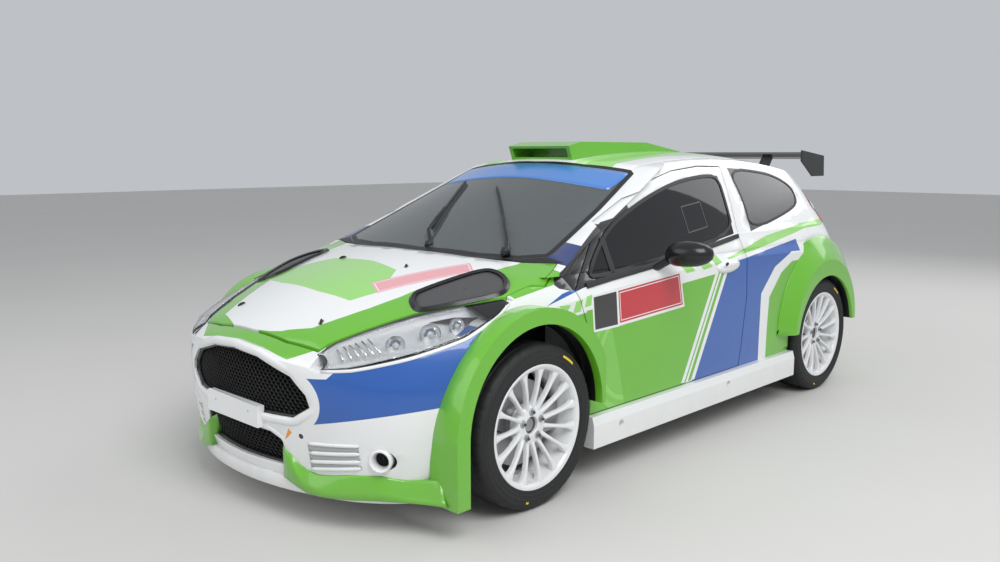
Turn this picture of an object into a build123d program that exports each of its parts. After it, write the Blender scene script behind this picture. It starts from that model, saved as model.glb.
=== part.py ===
from build123d import *
import os
from math import cos, radians, sin

# Rally car, three doors, front at +X, left side at +Y, floor at Z = 0.
# The origin is on the floor at the middle of the body's box. Millimetres.

# Driving dimensions of the chassis
WHEELBASE = 2493
FRONT_AXLE_X = 1181.5
REAR_AXLE_X = FRONT_AXLE_X - WHEELBASE
TYRE_RADIUS = 325
TYRE_WIDTH = 200
RIM_RADIUS = 246
RIM_WIDTH = 190
HUB_HEIGHT = TYRE_RADIUS
FRONT_FACE_Y = 875
REAR_FACE_Y = 850
GROUND_CLEARANCE = 150
KINGPIN_Y = 690

# Driving dimensions of the body
SIDE_WALL = 62
TOP_WALL = 32
FLOOR_THICK = 24
PANEL_GAP = 5
GLASS_THICK = 6
FIT = 0.3
FLARE_FRONT_Y = 905
FLARE_REAR_Y = 885
FLARE_BAND = 62
SKIRT_Y = 862
DOOR_CLEAR = 8
REAR_SEAM_X = -1610
POST_FRONT_X = 790
POST_INNER_Y = 560

# Wheel openings: centre, radius of the arch, drop of its legs
FRONT_ARCH_X = 1200
FRONT_ARCH_Z = 355
FRONT_ARCH_RADIUS = 375
REAR_ARCH_X = REAR_AXLE_X
REAR_ARCH_Z = 318
REAR_ARCH_RADIUS = 352

# Panel lines seen from the side and from above
DOOR_FRONT_X = 795
DOOR_REAR_X = -470
DOOR_TIP_X = 920
DOOR_SILL_Z = 285
FIREWALL_X = 745
FIREWALL_THICK = 20
BUMPER_SEAM_X = 1420
ROOF_REAR_X = -1480
TAIL_SILL_Z = 640

# Outside fittings
MIRROR_X = 275
MIRROR_Y = 945
MIRROR_Z = 928
MIRROR_LENGTH = 120
MIRROR_WIDTH = 200
MIRROR_HEIGHT = 105
MIRROR_FOOT_Y = 790
PLATE_X = 1981
PLATE_Z = 352
PLATE_WIDTH = 370
PLATE_HEIGHT = 82
PLATE_DEPTH = 31
LAMP_INNER_Y = 420
FENDER_INNER_Y = 650
FENDER_SKIN_Y = 790
DUCT_Y = 650
DUCT_Z = 284
DUCT_RADIUS = 38
GRILLE_INSET = 22
GRILLE_THICK = 12
GRILLE_PITCH = 44
SPLITTER_Z = 122
SPLITTER_REACH = 14
SPLITTER_PLATE = 18
JACK_BORE = 36
JACK_END_Y = 825
JACK_SOCKETS = [(635, 218), (-254, 226)]
REAR_FLARE_ROOT = 520
REAR_FLARE_Z = REAR_ARCH_Z + 60
REAR_FLARE_LIP = 385
EXHAUST_Y = -430
EXHAUST_Z = 220
EXHAUST_RADIUS = 42
EXHAUST_END = 1978
SCOOP_HALF_WIDTH = 205
SCOOP_SLOT_Z = 1346
WIPER_RADIUS = 7
WIPERS = [
    # foot, elbow and tip of each arm
    ((978, 500, 945), (905, 452, 1005), (497, -18, 1208)),
    ((1000, 45, 962), (938, -25, 1008), (415, -316, 1224)),
]
WING_HALF_SPAN = 540
WING_PLATE_THICK = 12
WING_FOOT_Y = 280
GRILLE_BAR = 5
GRILLE_RIM = 10

# Hinges of the bonnet and the tailgate: pin axes, and an arm or lug at each side
HINGE_GAP = 5
PIN_CLEAR = 0.05
BONNET_RISE = 6
BONNET_PIN_X = 880
BONNET_PIN_Z = 915
BONNET_PIN_RADIUS = 7
BONNET_ARM_Y = 634
BONNET_ARM_WIDTH = 10
BONNET_ARM = [
    (868, 927), (892, 927), (884, 870), (893, 826), (908, 818), (940, 830), (986, 850), (1000, 884),
    (1062, 884), (1040, 846), (1005, 832), (950, 812), (900, 796), (876, 826), (866, 872), (868, 903),
]
TAIL_PIN_X = -1482.5
TAIL_PIN_Z = 1316
TAIL_PIN_RADIUS = 5
TAIL_LUG_Y = 106
TAIL_LUG_WIDTH = 10
TAIL_NOTCH = 20
TAILGATE_RISE = 26
ROOF_LUG = [(8, -42), (8, -8), (-9, -8), (-9, 10), (9, 10), (42, -10), (42, -42)]
TAIL_LUG = [(-7, -42), (-7, -8), (9, -8), (9, 10), (-9, 10), (-46, -14), (-46, -42)]

# Wheel
RIM_FLANGE = 12
RIM_WALL = 9
BEAD_RADIUS = 230
DROP_RADIUS = 208
HUB_RADIUS = 78
HUB_FACE = 34
HUB_DEPTH = 34
SPOKES = 15
SPOKE_FACE = 12
SPOKE_DEPTH = 30
SPOKE_ROOT = 26
SPOKE_TIP = 19
NUTS = 5
NUT_CIRCLE = 56
NUT_POCKET = 12
CENTRE_BORE = 33
BRAKE_RADIUS = 172
BRAKE_HAT = 72
BRAKE_Y = 104
BRAKE_THICK = 26
STUB_RADIUS = 26

# Floor, front structure and axles
FLOOR_Z = 170
REAR_FLOOR_Z = 420
HEEL_X = -955
HEEL_LOW_Z = 260
TUNNEL_HALF_WIDTH = 120
TUNNEL_HEIGHT = 150
REAR_INNER_Y = 555
REAR_WELL_RADIUS = 364
SHEET = 16
APRON_Y = 470
SHELF_Z = 740
GATE_Z = 640
COWL_SHELF_Z = 888
COWL_NOSE_X = 1072
FRONT_WELL_END = 1610
RAIL_Z = 380
RAIL_WIDTH = 66
RAIL_HEIGHT = 78
CROSSMEMBER_X = 1790
SUBFRAME_X = FRONT_AXLE_X
ARM_TOP_Z = 244
ARM_THICK = 40
ENGINE_BOX_X = (985, 1420)
ENGINE_BOX_Y = (-355, 300)
ENGINE_TOP_Z = 760
UPPER_ARM_RADIUS = 12
UPPER_ARM_SPREAD = 95
UPPER_ARM_Z = 422
UPPER_ARM_FOOT_Y = APRON_Y + 5
STRUT_Y = 600
STRUT_RADIUS = 26
SPRING_RADIUS = 46
SPRING_Z = 520
CALIPER_REACH = 186
BEAM_Z = 268

# Cabin
DRIVER_Y = 340
DASH_HALF_WIDTH = 552
DASH_PROFILE = [(FIREWALL_X, 640), (FIREWALL_X, 872), (560, 880), (480, 836), (505, 730), (600, 640)]
COLUMN_TILT = 24
COLUMN_LENGTH = 250
STEERING_WHEEL_X = 330
STEERING_WHEEL_Z = 800
STEERING_WHEEL_RADIUS = 160
SEAT_HALF_WIDTH = 205
SEAT_BOLSTER = 50
SEAT_PAD = [(180, 240), (180, 360), (-170, 325), (-280, 410), (-400, 1085), (-470, 1085), (-360, 240)]
SEAT_SIDE = [
    (180, 240), (190, 430), (-60, 450), (-190, 560), (-330, 960), (-400, 1085), (-470, 1085), (-360, 240),
]
CAGE_RADIUS = 21
CAGE_POINTS = [
    ("front foot", 700, 615, 190), ("front knee", 690, 605, 800), ("front top", 95, 498, 1212),
    ("hoop foot", -530, 610, 190), ("hoop side", -530, 605, 800), ("hoop top", -530, 500, 1218),
    ("stay foot", -1240, 500, 440), ("door low", 695, 608, 380), ("door high", -530, 608, 720),
    ("harness", -530, 575, 880),
]
# A star marks the end that lies on the other side of the car.
CAGE_TUBES = [
    ("front foot", "front knee"), ("front knee", "front top"), ("front top", "hoop top"),
    ("hoop foot", "hoop side"), ("hoop side", "hoop top"), ("hoop top", "hoop top*"),
    ("front top", "front top*"), ("hoop top", "stay foot"), ("door low", "door high"),
    ("harness", "harness*"), ("hoop top", "stay foot*"),
]
SKIRT_PROFILE = [(770, 148), (SKIRT_Y, 148), (SKIRT_Y, 245), (852, 282), (770, 282)]

# Body outline at each height, half of the plan: the nose on the centre line, the nose
# corner, the front of the flank, its widest point, its rear, the tail corner and the tail.
LOWER_ROWS = [
    # z, nose_x, corner_x, corner_y, front_x, front_y, mid_y, rear_x, rear_y, tail_cx, tail_cy, tail_x
    (GROUND_CLEARANCE + 20, 1935, 1855, 440, 1560, 775, 800, -1480, 790, -1810, 560, -1900),
    (330, 1962, 1885, 445, 1560, 812, 834, -1480, 812, -1850, 590, -1955),
    (480, 1972, 1905, 445, 1550, 832, 850, -1490, 836, -1860, 600, -1981),
    (620, 1962, 1895, 450, 1500, 836, 853, -1500, 838, -1840, 610, -1955),
    (740, 1925, 1840, 460, 1400, 815, 845, -1480, 826, -1800, 610, -1895),
    (840, 1850, 1740, 470, 1200, 775, 818, -1440, 802, -1765, 602, -1862),
    (960, 1700, 1580, 470, 1000, 712, 764, -1390, 752, -1705, 575, -1815),
]
UPPER_ROWS = [
    (880, 1200, 1085, 705, 905, 768, 800, -1420, 788, -1750, 597, -1850),
    (990, 990, 870, 690, 690, 716, 750, -1375, 735, -1690, 565, -1800),
    (1120, 730, 590, 652, 400, 664, 694, -1310, 668, -1610, 512, -1735),
    (1260, 430, 270, 600, 60, 605, 622, -1220, 590, -1500, 452, -1640),
    (1400, 150, -20, 520, -220, 525, 540, -1050, 505, -1330, 390, -1500),
]

# Line of the bonnet, screen and roof, on the centre line and at CROWN_Y to each side
CROWN_Y = 820
CROWN_LINE = [
    # name, x and z on the centre line, x and z at CROWN_Y
    ("below nose", 2100, 520, 2100, 230),
    ("bonnet lip", 1852, 712, 1715, 600),
    ("bonnet middle", 1450, 866, 1330, 775),
    ("screen base", 1035, 942, 968, 890),
    ("screen top", 200, 1337, -20, 1262),
    ("roof middle", -450, 1382, -500, 1284),
    ("roof end", -1540, 1308, -1430, 1160),
    ("behind tail", -2100, 1190, -2100, 900),
]

# Panel outlines seen from the side, as X and Z
DOOR_LINE = [
    (DOOR_FRONT_X + 5, DOOR_SILL_Z), (DOOR_FRONT_X, 600), (885, 815), (590, 1068), (370, 1160), (150, 1228),
    (-90, 1278), (-330, 1298), (DOOR_REAR_X - 65, 1294), (DOOR_REAR_X - 30, 1120), (DOOR_REAR_X + 8, 950),
    (DOOR_REAR_X, 780), (DOOR_REAR_X - 8, 640), (DOOR_REAR_X + 15, 500), (DOOR_REAR_X + 30, 400),
    (DOOR_REAR_X + 55, DOOR_SILL_Z),
]
DOOR_WINDOW = [
    (780, 872), (560, 1036), (350, 1116), (130, 1182), (-90, 1232), (-330, 1256), (-474, 1250), (-452, 1120),
    (-428, 962), (100, 900), (740, 845),
]
QUARTER_WINDOW = [
    (-600, 962), (-632, 1120), (-604, 1290), (-1000, 1262), (-1180, 1222), (-1285, 1165), (-1262, 1085),
    (-1130, 1045),
]
FENDER_LINE = [
    (DOOR_FRONT_X + 10, 100), (DOOR_FRONT_X + 10, 597), (897, 812), (935, 880), (935, 1000),
    (BUMPER_SEAM_X, 1000), (BUMPER_SEAM_X, 100),
]
BODY_SIDE_LINE = [
    (DOOR_FRONT_X + 10, 100), (DOOR_FRONT_X + 10, 597), (897, 812), (935, 880), (935, 1000), (200, 1500),
    (-2100, 1500), (-2100, TAIL_SILL_Z), (REAR_SEAM_X, TAIL_SILL_Z), (REAR_SEAM_X, 100),
]
REAR_BUMPER_LINE = [(REAR_SEAM_X, TAIL_SILL_Z), (REAR_SEAM_X, 100), (-2100, 100), (-2100, TAIL_SILL_Z)]
HEADLAMP_LINE = [
    (1238, 812), (1320, 772), (1398, 746), (1496, 704), (1587, 678), (1681, 650), (1762, 628), (1833, 608),
    (2000, 590), (2000, 900), (1238, 900),
]
TAIL_LAMP_LINE = [
    (-1425, 1150), (-1560, 1125), (-2000, 930), (-2000, 850), (-1640, 850), (-1590, 930), (-1440, 1060),
]
SCOOP_LINE = [(172, 1290), (218, 1402), (120, 1424), (-440, 1424), (-800, 1372), (-800, 1290)]
WING_LINE = [(-1600, 1362), (-1640, 1374), (-1760, 1366), (-1885, 1338), (-1885, 1330), (-1640, 1344)]
WING_PLATE_LINE = [(-1590, 1385), (-1890, 1352), (-1900, 1225), (-1745, 1225), (-1590, 1320)]
WING_FOOT_LINE = [(-1545, 1270), (-1610, 1352), (-1740, 1352), (-1650, 1240)]

# Panel outlines seen from above, left half, as X and Y
BONNET_HALF = [
    (1075, 0), (1048, 330), (985, 600), (925, 735), (1042, 775), (1240, 752), (1396, 655), (1531, 558),
    (1672, 490), (1845, 404), (1872, 240), (1880, 0),
]
SCREEN_HALF = [
    (1050, 0), (1022, 370), (975, 560), (905, 672), (862, 674), (500, 626), (170, 566), (150, 535),
    (205, 290), (225, 0),
]
ROOF_HALF = [
    (225, 0), (205, 290), (150, 535), (60, 538), (-400, 534), (-1000, 512), (ROOF_REAR_X, 458),
    (ROOF_REAR_X, 0),
]
COWL_HALF = [(1110, 0), (1085, 330), (1030, 600), (905, 760), (905, 672), (975, 560), (1022, 370), (1050, 0)]
VENT_OUTLINE = [
    (1463, 465), (1508, 540), (1500, 575), (1378, 655), (1262, 722), (1205, 722), (1148, 666), (1126, 592),
    (1140, 538), (1282, 504), (1387, 479),
]

# Panel outlines seen from the front or the back, left half, as Y and Z
UPPER_GRILLE_HALF = [(0, 628), (156, 616), (339, 566), (410, 506), (424, 462), (340, 412), (0, 402)]
LOWER_GRILLE_HALF = [(0, 350), (215, 340), (272, 316), (296, 216), (0, 212)]
TAILGATE_HALF = [
    (0, TAIL_SILL_Z), (520, TAIL_SILL_Z), (562, 880), (540, 1040), (478, 1240), (450, 1500), (0, 1500),
]
TAIL_WINDOW_HALF = [(0, 975), (462, 985), (418, 1215), (0, 1232)]

os.makedirs("parts", exist_ok=True)


def save(builder, name):
    """Label a finished piece and write its STEP file."""
    builder.part.label = name
    export_step(builder.part, f"parts/{name}.step")


def mirrored(vector):
    """The same plan point on the other side of the car."""
    return Vector(vector.X, -vector.Y)


def bowed(start, end, bow):
    """The middle of a chord, moved outward by bow."""
    chord = end - start
    return (start + end) / 2 + Vector(-chord.Y, chord.X).normalized() * bow


def plan_outline(row, inset):
    """The body's closed outline at one height, made of eight arcs."""
    z, nose_x, corner_x, corner_y, front_x, front_y, mid_y, rear_x, rear_y, tail_cx, tail_cy, tail_x = row
    nose = Vector(nose_x - inset, 0)
    corner = Vector(corner_x - 0.9 * inset, corner_y - 0.45 * inset)
    front = Vector(front_x, front_y - inset)
    middle = Vector((front_x + rear_x) / 2, mid_y - inset)
    rear = Vector(rear_x, rear_y - inset)
    tail_corner = Vector(tail_cx + 0.9 * inset, tail_cy - 0.45 * inset)
    tail = Vector(tail_x + inset, 0)
    shoulder = bowed(corner, front, -52)
    haunch = bowed(rear, tail_corner, -46)
    with BuildLine() as outline:
        ThreePointArc(mirrored(corner), nose, corner)
        ThreePointArc(corner, shoulder, front)
        ThreePointArc(front, middle, rear)
        ThreePointArc(rear, haunch, tail_corner)
        ThreePointArc(tail_corner, tail, mirrored(tail_corner))
        ThreePointArc(mirrored(tail_corner), mirrored(haunch), mirrored(rear))
        ThreePointArc(mirrored(rear), mirrored(middle), mirrored(front))
        ThreePointArc(mirrored(front), mirrored(shoulder), mirrored(corner))
    return outline.line


def plan_loft(rows, inset):
    """A body volume through the plan outlines, one above the other."""
    with BuildPart() as volume:
        for row in rows:
            with BuildSketch(Plane.XY.offset(row[0])):
                with BuildLine():
                    add(plan_outline(row, inset))
                make_face()
        loft()
    return volume.part


def crown_loft(inset):
    """Everything below the bonnet, screen and roof, lower by inset."""
    with BuildPart() as volume:
        for side in (-1, 0, 1):
            points = []
            for name, mid_x, mid_z, side_x, side_z in CROWN_LINE:
                x, z = (side_x, side_z) if side else (mid_x, mid_z)
                back = inset if name in ("screen base", "screen top") else 0
                points.append((x - 0.45 * back, z - inset))
            with BuildSketch(Plane.XZ.offset(-side * CROWN_Y)):
                with BuildLine():
                    Polyline((-2100, 100), (2100, 100), points[0], points[1])
                    ThreePointArc(points[1], points[2], points[3])
                    Line(points[3], points[4])
                    ThreePointArc(points[4], points[5], points[6])
                    Polyline(points[6], points[7], (-2100, 100))
                make_face()
        loft()
    return volume.part


def body_volume(side_inset, top_inset):
    """The whole body as one closed volume, smaller by the insets."""
    with BuildPart() as volume:
        add(plan_loft(LOWER_ROWS, side_inset))
        add(plan_loft(UPPER_ROWS, side_inset))
        add(crown_loft(top_inset), mode=Mode.INTERSECT)
    return volume.part


def side_prism(points, y_from, y_to):
    """A straight-sided outline seen from the side, pushed across from y_from to y_to."""
    with BuildPart() as prism:
        with BuildSketch(Plane.XZ.offset(-y_from)):
            with BuildLine():
                Polyline(*points, close=True)
            make_face()
        extrude(amount=-(y_to - y_from))
    return prism.part


def grown_side_prism(points, grow, y_from, y_to):
    """A side outline made larger by grow all round."""
    with BuildPart() as prism:
        with BuildSketch(Plane.XZ.offset(-y_from)):
            with BuildLine():
                Polyline(*points, close=True)
            make_face()
            offset(amount=grow, kind=Kind.INTERSECTION)
        extrude(amount=-(y_to - y_from))
    return prism.part


def arch_prism(centre_x, centre_z, radius, y_from, y_to):
    """A wheel opening: a round arch on two straight legs, down below the body."""
    with BuildPart() as prism:
        with BuildSketch(Plane.XZ.offset(-y_from)):
            with BuildLine():
                Polyline(
                    (centre_x - radius, centre_z), (centre_x - radius, 0),
                    (centre_x + radius, 0), (centre_x + radius, centre_z),
                )
                RadiusArc((centre_x + radius, centre_z), (centre_x - radius, centre_z), -radius)
            make_face()
        extrude(amount=-(y_to - y_from))
    return prism.part


def plan_prism(half, z_from, z_to, grow=0):
    """A closed outline seen from above, its left half given, pushed up from z_from to z_to."""
    with BuildPart() as prism:
        with BuildSketch(Plane.XY.offset(z_from)):
            with BuildLine():
                Polyline(*half)
                Polyline(*[(x, -y) for x, y in half])
            make_face()
            if grow:
                offset(amount=grow, kind=Kind.INTERSECTION)
        extrude(amount=z_to - z_from)
    return prism.part


def front_prism(half, x_from, x_to, grow=0):
    """A closed outline seen from the front, its left half given, pushed from x_from to x_to."""
    with BuildPart() as prism:
        with BuildSketch(Plane.YZ.offset(x_from)):
            with BuildLine():
                Polyline(*half)
                Polyline(*[(-y, z) for y, z in half])
            make_face()
            if grow:
                offset(amount=grow, kind=Kind.INTERSECTION)
        extrude(amount=x_to - x_from)
    return prism.part


def block(x_from, x_to, y_from, y_to, z_from, z_to):
    """A box between six planes."""
    with BuildPart() as solid:
        with BuildSketch(Plane.XY.offset(z_from)):
            with Locations(((x_from + x_to) / 2, (y_from + y_to) / 2)):
                Rectangle(x_to - x_from, y_to - y_from)
        extrude(amount=z_to - z_from)
    return solid.part


def rod(start, end, radius):
    """A round bar between two points."""
    axis = Vector(*end) - Vector(*start)
    with BuildPart() as solid:
        with BuildSketch(Plane(origin=start, z_dir=axis)):
            Circle(radius)
        extrude(amount=axis.length)
    return solid.part


def pick(base, keep, drop=()):
    """The part of base inside keep and outside every volume in drop."""
    with BuildPart() as piece:
        add(base)
        add(keep, mode=Mode.INTERSECT)
        for volume in drop:
            add(volume, mode=Mode.SUBTRACT)
    return piece.part


def drilled_plate(outline, pin, radius, y_from, width):
    """An upright plate seen from the side, with a hole for a pin along Y."""
    with BuildPart() as plate:
        add(side_prism(outline, y_from, y_from + width))
        with BuildSketch(Plane.XZ.offset(-y_from)):
            with Locations(pin):
                Circle(radius)
        extrude(amount=-width, mode=Mode.SUBTRACT)
    return plate.part


def mirror_part(part):
    """The same piece on the right-hand side of the car."""
    return mirror(part, about=Plane.XZ, mode=Mode.PRIVATE)


def emit(name, *parts):
    """Join or gather pieces in one node and write it."""
    with BuildPart() as node:
        for part in parts:
            add(part)
    save(node, name)
    print(name, len(node.part.solids()), round(node.part.volume / 1e6, 2), node.part.is_valid)


# Body volumes: the outside, the inside of the walls, and what stands clear of the doors
OUTSIDE = body_volume(0, 0)
INSIDE = body_volume(SIDE_WALL, TOP_WALL)
INNER = body_volume(SIDE_WALL + DOOR_CLEAR, TOP_WALL + DOOR_CLEAR)
UNDER_GLASS = body_volume(GLASS_THICK, GLASS_THICK)
BELOW_TOP = crown_loft(TOP_WALL)
BELOW_GAP = crown_loft(TOP_WALL + PANEL_GAP)
SHELL = pick(OUTSIDE, OUTSIDE, [INSIDE])
TOP_SKIN = pick(OUTSIDE, OUTSIDE, [BELOW_TOP])
GLASS_SKIN = pick(OUTSIDE, OUTSIDE, [UNDER_GLASS])
LEFT = (0, 1200)
FRONT_OPENING = arch_prism(FRONT_ARCH_X, FRONT_ARCH_Z, FRONT_ARCH_RADIUS, 400, 1200)
REAR_OPENING = arch_prism(REAR_ARCH_X, REAR_ARCH_Z, REAR_ARCH_RADIUS, 560, 1200)

# Bonnet with its outlet vents
bonnet_prism = plan_prism(BONNET_HALF, 500, 1100)
with BuildPart() as bonnet_room:
    bonnet_grown = plan_prism(BONNET_HALF, 500, 1100, PANEL_GAP)
    add(bonnet_grown)
    add(bonnet_grown.moved(Location((BONNET_RISE, 0, 0))))
    add(BELOW_GAP, mode=Mode.SUBTRACT)
bonnet_space = bonnet_room.part
with BuildPart() as vent_cut:
    with BuildSketch(Plane.XY.offset(600)):
        with BuildLine():
            Polyline(*VENT_OUTLINE, close=True)
        make_face()
    extrude(amount=400)
VENT_CUTS = [vent_cut.part, mirror_part(vent_cut.part)]
bonnet_skin = pick(TOP_SKIN, bonnet_prism, VENT_CUTS)
bonnet_pin = (BONNET_PIN_X, BONNET_PIN_Z)
arm = pick(
    drilled_plate(BONNET_ARM, bonnet_pin, BONNET_PIN_RADIUS + PIN_CLEAR, BONNET_ARM_Y, BONNET_ARM_WIDTH),
    BELOW_TOP,
)
emit("bonnet", bonnet_skin, arm, mirror_part(arm))
vent_left = pick(TOP_SKIN, vent_cut.part)
emit("bonnet_vents", vent_left, mirror_part(vent_left))

# Windscreen, cowl and roof, all clear of the doors
door_space = pick(
    grown_side_prism(DOOR_LINE, PANEL_GAP, *LEFT), block(-2200, 2200, 0, 1200, 0, 1600), [INNER],
)
DOOR_SPACES = [door_space, mirror_part(door_space)]
screen_prism = plan_prism(SCREEN_HALF, 860, 1450)
emit("windscreen", pick(GLASS_SKIN, screen_prism, DOOR_SPACES))
cowl = pick(SHELL, plan_prism(COWL_HALF, 840, 1000), [bonnet_space, screen_prism])
emit("cowl_panel", cowl)
tailgate_prism = front_prism(TAILGATE_HALF, -2200, ROOF_REAR_X - PANEL_GAP)
with BuildPart() as tailgate_room:
    tailgate_grown = front_prism(TAILGATE_HALF, -2200, ROOF_REAR_X, PANEL_GAP)
    add(tailgate_grown)
    add(tailgate_grown.moved(Location((0, 0, TAILGATE_RISE))))
tailgate_space = tailgate_room.part
roof_prism = plan_prism(ROOF_HALF, 1100, 1450)
tail_pin = (TAIL_PIN_X, TAIL_PIN_Z)
roof_lug_outline = [(TAIL_PIN_X + x, TAIL_PIN_Z + z) for x, z in ROOF_LUG]
notch_from = TAIL_LUG_Y + TAIL_LUG_WIDTH
notch_to = notch_from + 2 * HINGE_GAP + TAIL_LUG_WIDTH
roof_notch = block(ROOF_REAR_X - PANEL_GAP, TAIL_PIN_X + TAIL_NOTCH, notch_from, notch_to, 1100, 1500)
gate_notch = block(TAIL_PIN_X - TAIL_NOTCH, ROOF_REAR_X, TAIL_LUG_Y - HINGE_GAP, notch_to, 1100, 1500)
with BuildPart() as roof_panel:
    add(pick(TOP_SKIN, roof_prism, [screen_prism, roof_notch, mirror_part(roof_notch)] + DOOR_SPACES))
    for side in (1, -1):
        low, high = sorted((side * TAIL_LUG_Y, side * (TAIL_LUG_Y + TAIL_LUG_WIDTH)))
        add(pick(side_prism(roof_lug_outline, low, high), block(-2200, 0, low, high, 1240, 1400)))
        pin_from = (TAIL_PIN_X, side * TAIL_LUG_Y, TAIL_PIN_Z)
        pin_end = side * (TAIL_LUG_Y + 2 * TAIL_LUG_WIDTH + HINGE_GAP)
        add(rod(pin_from, (TAIL_PIN_X, pin_end, TAIL_PIN_Z), TAIL_PIN_RADIUS))
emit("roof_panel", roof_panel.part)

# Doors: each a wall with its window cut, its glass and its mirror
door_prism = side_prism(DOOR_LINE, *LEFT)
window_prism = side_prism(DOOR_WINDOW, *LEFT)
door_left = pick(SHELL, door_prism, [window_prism])
door_glass_left = pick(GLASS_SKIN, window_prism)
emit("door_left", door_left)
emit("door_right", mirror_part(door_left))
emit("door_glass_left", door_glass_left)
emit("door_glass_right", mirror_part(door_glass_left))

with BuildPart() as mirror_builder:
    with BuildSketch(Plane.YZ.offset(MIRROR_X - MIRROR_LENGTH / 2)):
        with Locations((MIRROR_Y, MIRROR_Z)):
            RectangleRounded(MIRROR_WIDTH, MIRROR_HEIGHT, MIRROR_HEIGHT * 0.3)
    with BuildSketch(Plane.YZ.offset(MIRROR_X)):
        with Locations((MIRROR_Y, MIRROR_Z)):
            RectangleRounded(MIRROR_WIDTH, MIRROR_HEIGHT, MIRROR_HEIGHT * 0.4)
    with BuildSketch(Plane.YZ.offset(MIRROR_X + MIRROR_LENGTH / 2)):
        with Locations((MIRROR_Y - 10, MIRROR_Z)):
            RectangleRounded(MIRROR_WIDTH * 0.5, MIRROR_HEIGHT * 0.4, MIRROR_HEIGHT * 0.16)
    loft()
    add(rod((MIRROR_X, MIRROR_Y - 20, MIRROR_Z - 20), (MIRROR_X + 20, MIRROR_FOOT_Y, MIRROR_Z - 85), 17))
mirror_left = pick(mirror_builder.part, mirror_builder.part, [OUTSIDE])
emit("mirror_left", mirror_left)
emit("mirror_right", mirror_part(mirror_left))

# Headlamps and tail lamps, each a closed unit in its corner of the body
lamp_prism = side_prism(HEADLAMP_LINE, LAMP_INNER_Y, LEFT[1])
headlamp = pick(SHELL, lamp_prism, [bonnet_space])
emit("headlamps", headlamp, mirror_part(headlamp))
tail_lamp_prism = side_prism(TAIL_LAMP_LINE, *LEFT)
tail_lamp = pick(SHELL, tail_lamp_prism, [tailgate_space])
emit("tail_lamps", tail_lamp, mirror_part(tail_lamp))

# Front wings
tyre_room = block(DOOR_FRONT_X, FRONT_ARCH_X - FRONT_ARCH_RADIUS + 30, 600, FENDER_SKIN_Y, 0, 620)
fender_cuts = [lamp_prism, bonnet_space, FRONT_OPENING, cowl, screen_prism, tyre_room]
fender_left = pick(SHELL, side_prism(FENDER_LINE, FENDER_INNER_Y, LEFT[1]), fender_cuts)
emit("fender_left", fender_left)
emit("fender_right", mirror_part(fender_left))

# Front bumper with its grille openings, ducts and the blank number plate
lamp_right_prism = mirror_part(lamp_prism)
upper_grille_prism = front_prism(UPPER_GRILLE_HALF, 1500, 2200)
lower_grille_prism = front_prism(LOWER_GRILLE_HALF, 1500, 2200)
with BuildPart() as duct_cut:
    with BuildSketch(Plane.YZ.offset(1500)):
        with Locations((DUCT_Y, DUCT_Z), (-DUCT_Y, DUCT_Z)):
            Circle(DUCT_RADIUS)
    extrude(amount=700)
with BuildPart() as front_bumper:
    add(SHELL)
    add(block(BUMPER_SEAM_X, 2200, -1000, 1000, 0, 1000), mode=Mode.INTERSECT)
    for cut in (lamp_prism, lamp_right_prism, bonnet_space, FRONT_OPENING, mirror_part(FRONT_OPENING)):
        add(cut, mode=Mode.SUBTRACT)
    for cut in (upper_grille_prism, lower_grille_prism, duct_cut.part):
        add(cut, mode=Mode.SUBTRACT)
    plate_half = PLATE_WIDTH / 2
    add(block(PLATE_X - PLATE_DEPTH, PLATE_X, -plate_half, plate_half, PLATE_Z, PLATE_Z + PLATE_HEIGHT))
emit("front_bumper", front_bumper.part)


# Splitter under the bumper, side skirts under the doors
splitter_row = LOWER_ROWS[0]
with BuildPart() as splitter:
    with BuildSketch(Plane.XY.offset(SPLITTER_Z)):
        with BuildLine():
            add(plan_outline(splitter_row, -SPLITTER_REACH))
        make_face()
    extrude(amount=LOWER_ROWS[0][0] - SPLITTER_Z)
    add(block(FRONT_ARCH_X + FRONT_ARCH_RADIUS, 2200, -1000, 1000, 0, 400), mode=Mode.INTERSECT)
    with BuildSketch(Plane.XY.offset(SPLITTER_Z + SPLITTER_PLATE)):
        with BuildLine():
            add(plan_outline(splitter_row, SIDE_WALL))
        make_face()
    extrude(amount=200, mode=Mode.SUBTRACT)
emit("front_splitter", splitter.part)

with BuildPart() as skirt:
    with BuildSketch(Plane.YZ.offset(REAR_AXLE_X + REAR_ARCH_RADIUS)):
        with BuildLine():
            Polyline(*SKIRT_PROFILE, close=True)
        make_face()
    extrude(amount=FRONT_ARCH_X - FRONT_ARCH_RADIUS - REAR_AXLE_X - REAR_ARCH_RADIUS)
    add(OUTSIDE, mode=Mode.SUBTRACT)
    with BuildSketch(Plane.XZ.offset(-1000)):
        with Locations(*JACK_SOCKETS):
            Circle(JACK_BORE / 2)
    extrude(amount=1000 - JACK_END_Y, mode=Mode.SUBTRACT)
emit("side_skirts", skirt.part, mirror_part(skirt.part))

# Wheel arch flares, standing proud of the body
with BuildPart() as front_flare:
    with BuildSketch(Plane.XZ.offset(-760)):
        with BuildLine():
            reach = FRONT_ARCH_RADIUS + FLARE_BAND
            arch_front = (FRONT_ARCH_X + reach, FRONT_ARCH_Z)
            arch_back = (FRONT_ARCH_X - reach, FRONT_ARCH_Z)
            Polyline(
                arch_front, (FRONT_ARCH_X + reach, SPLITTER_Z), (FRONT_ARCH_X, SPLITTER_Z),
                (FRONT_ARCH_X, FRONT_ARCH_Z), arch_back,
            )
            RadiusArc(arch_front, arch_back, -reach)
        make_face()
    extrude(amount=-(FLARE_FRONT_Y - 760))
    for cut in (FRONT_OPENING, OUTSIDE, splitter.part, block(0, DOOR_FRONT_X + 10, 0, 1200, 0, 1200)):
        add(cut, mode=Mode.SUBTRACT)
emit("front_flares", front_flare.part, mirror_part(front_flare.part))

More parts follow.
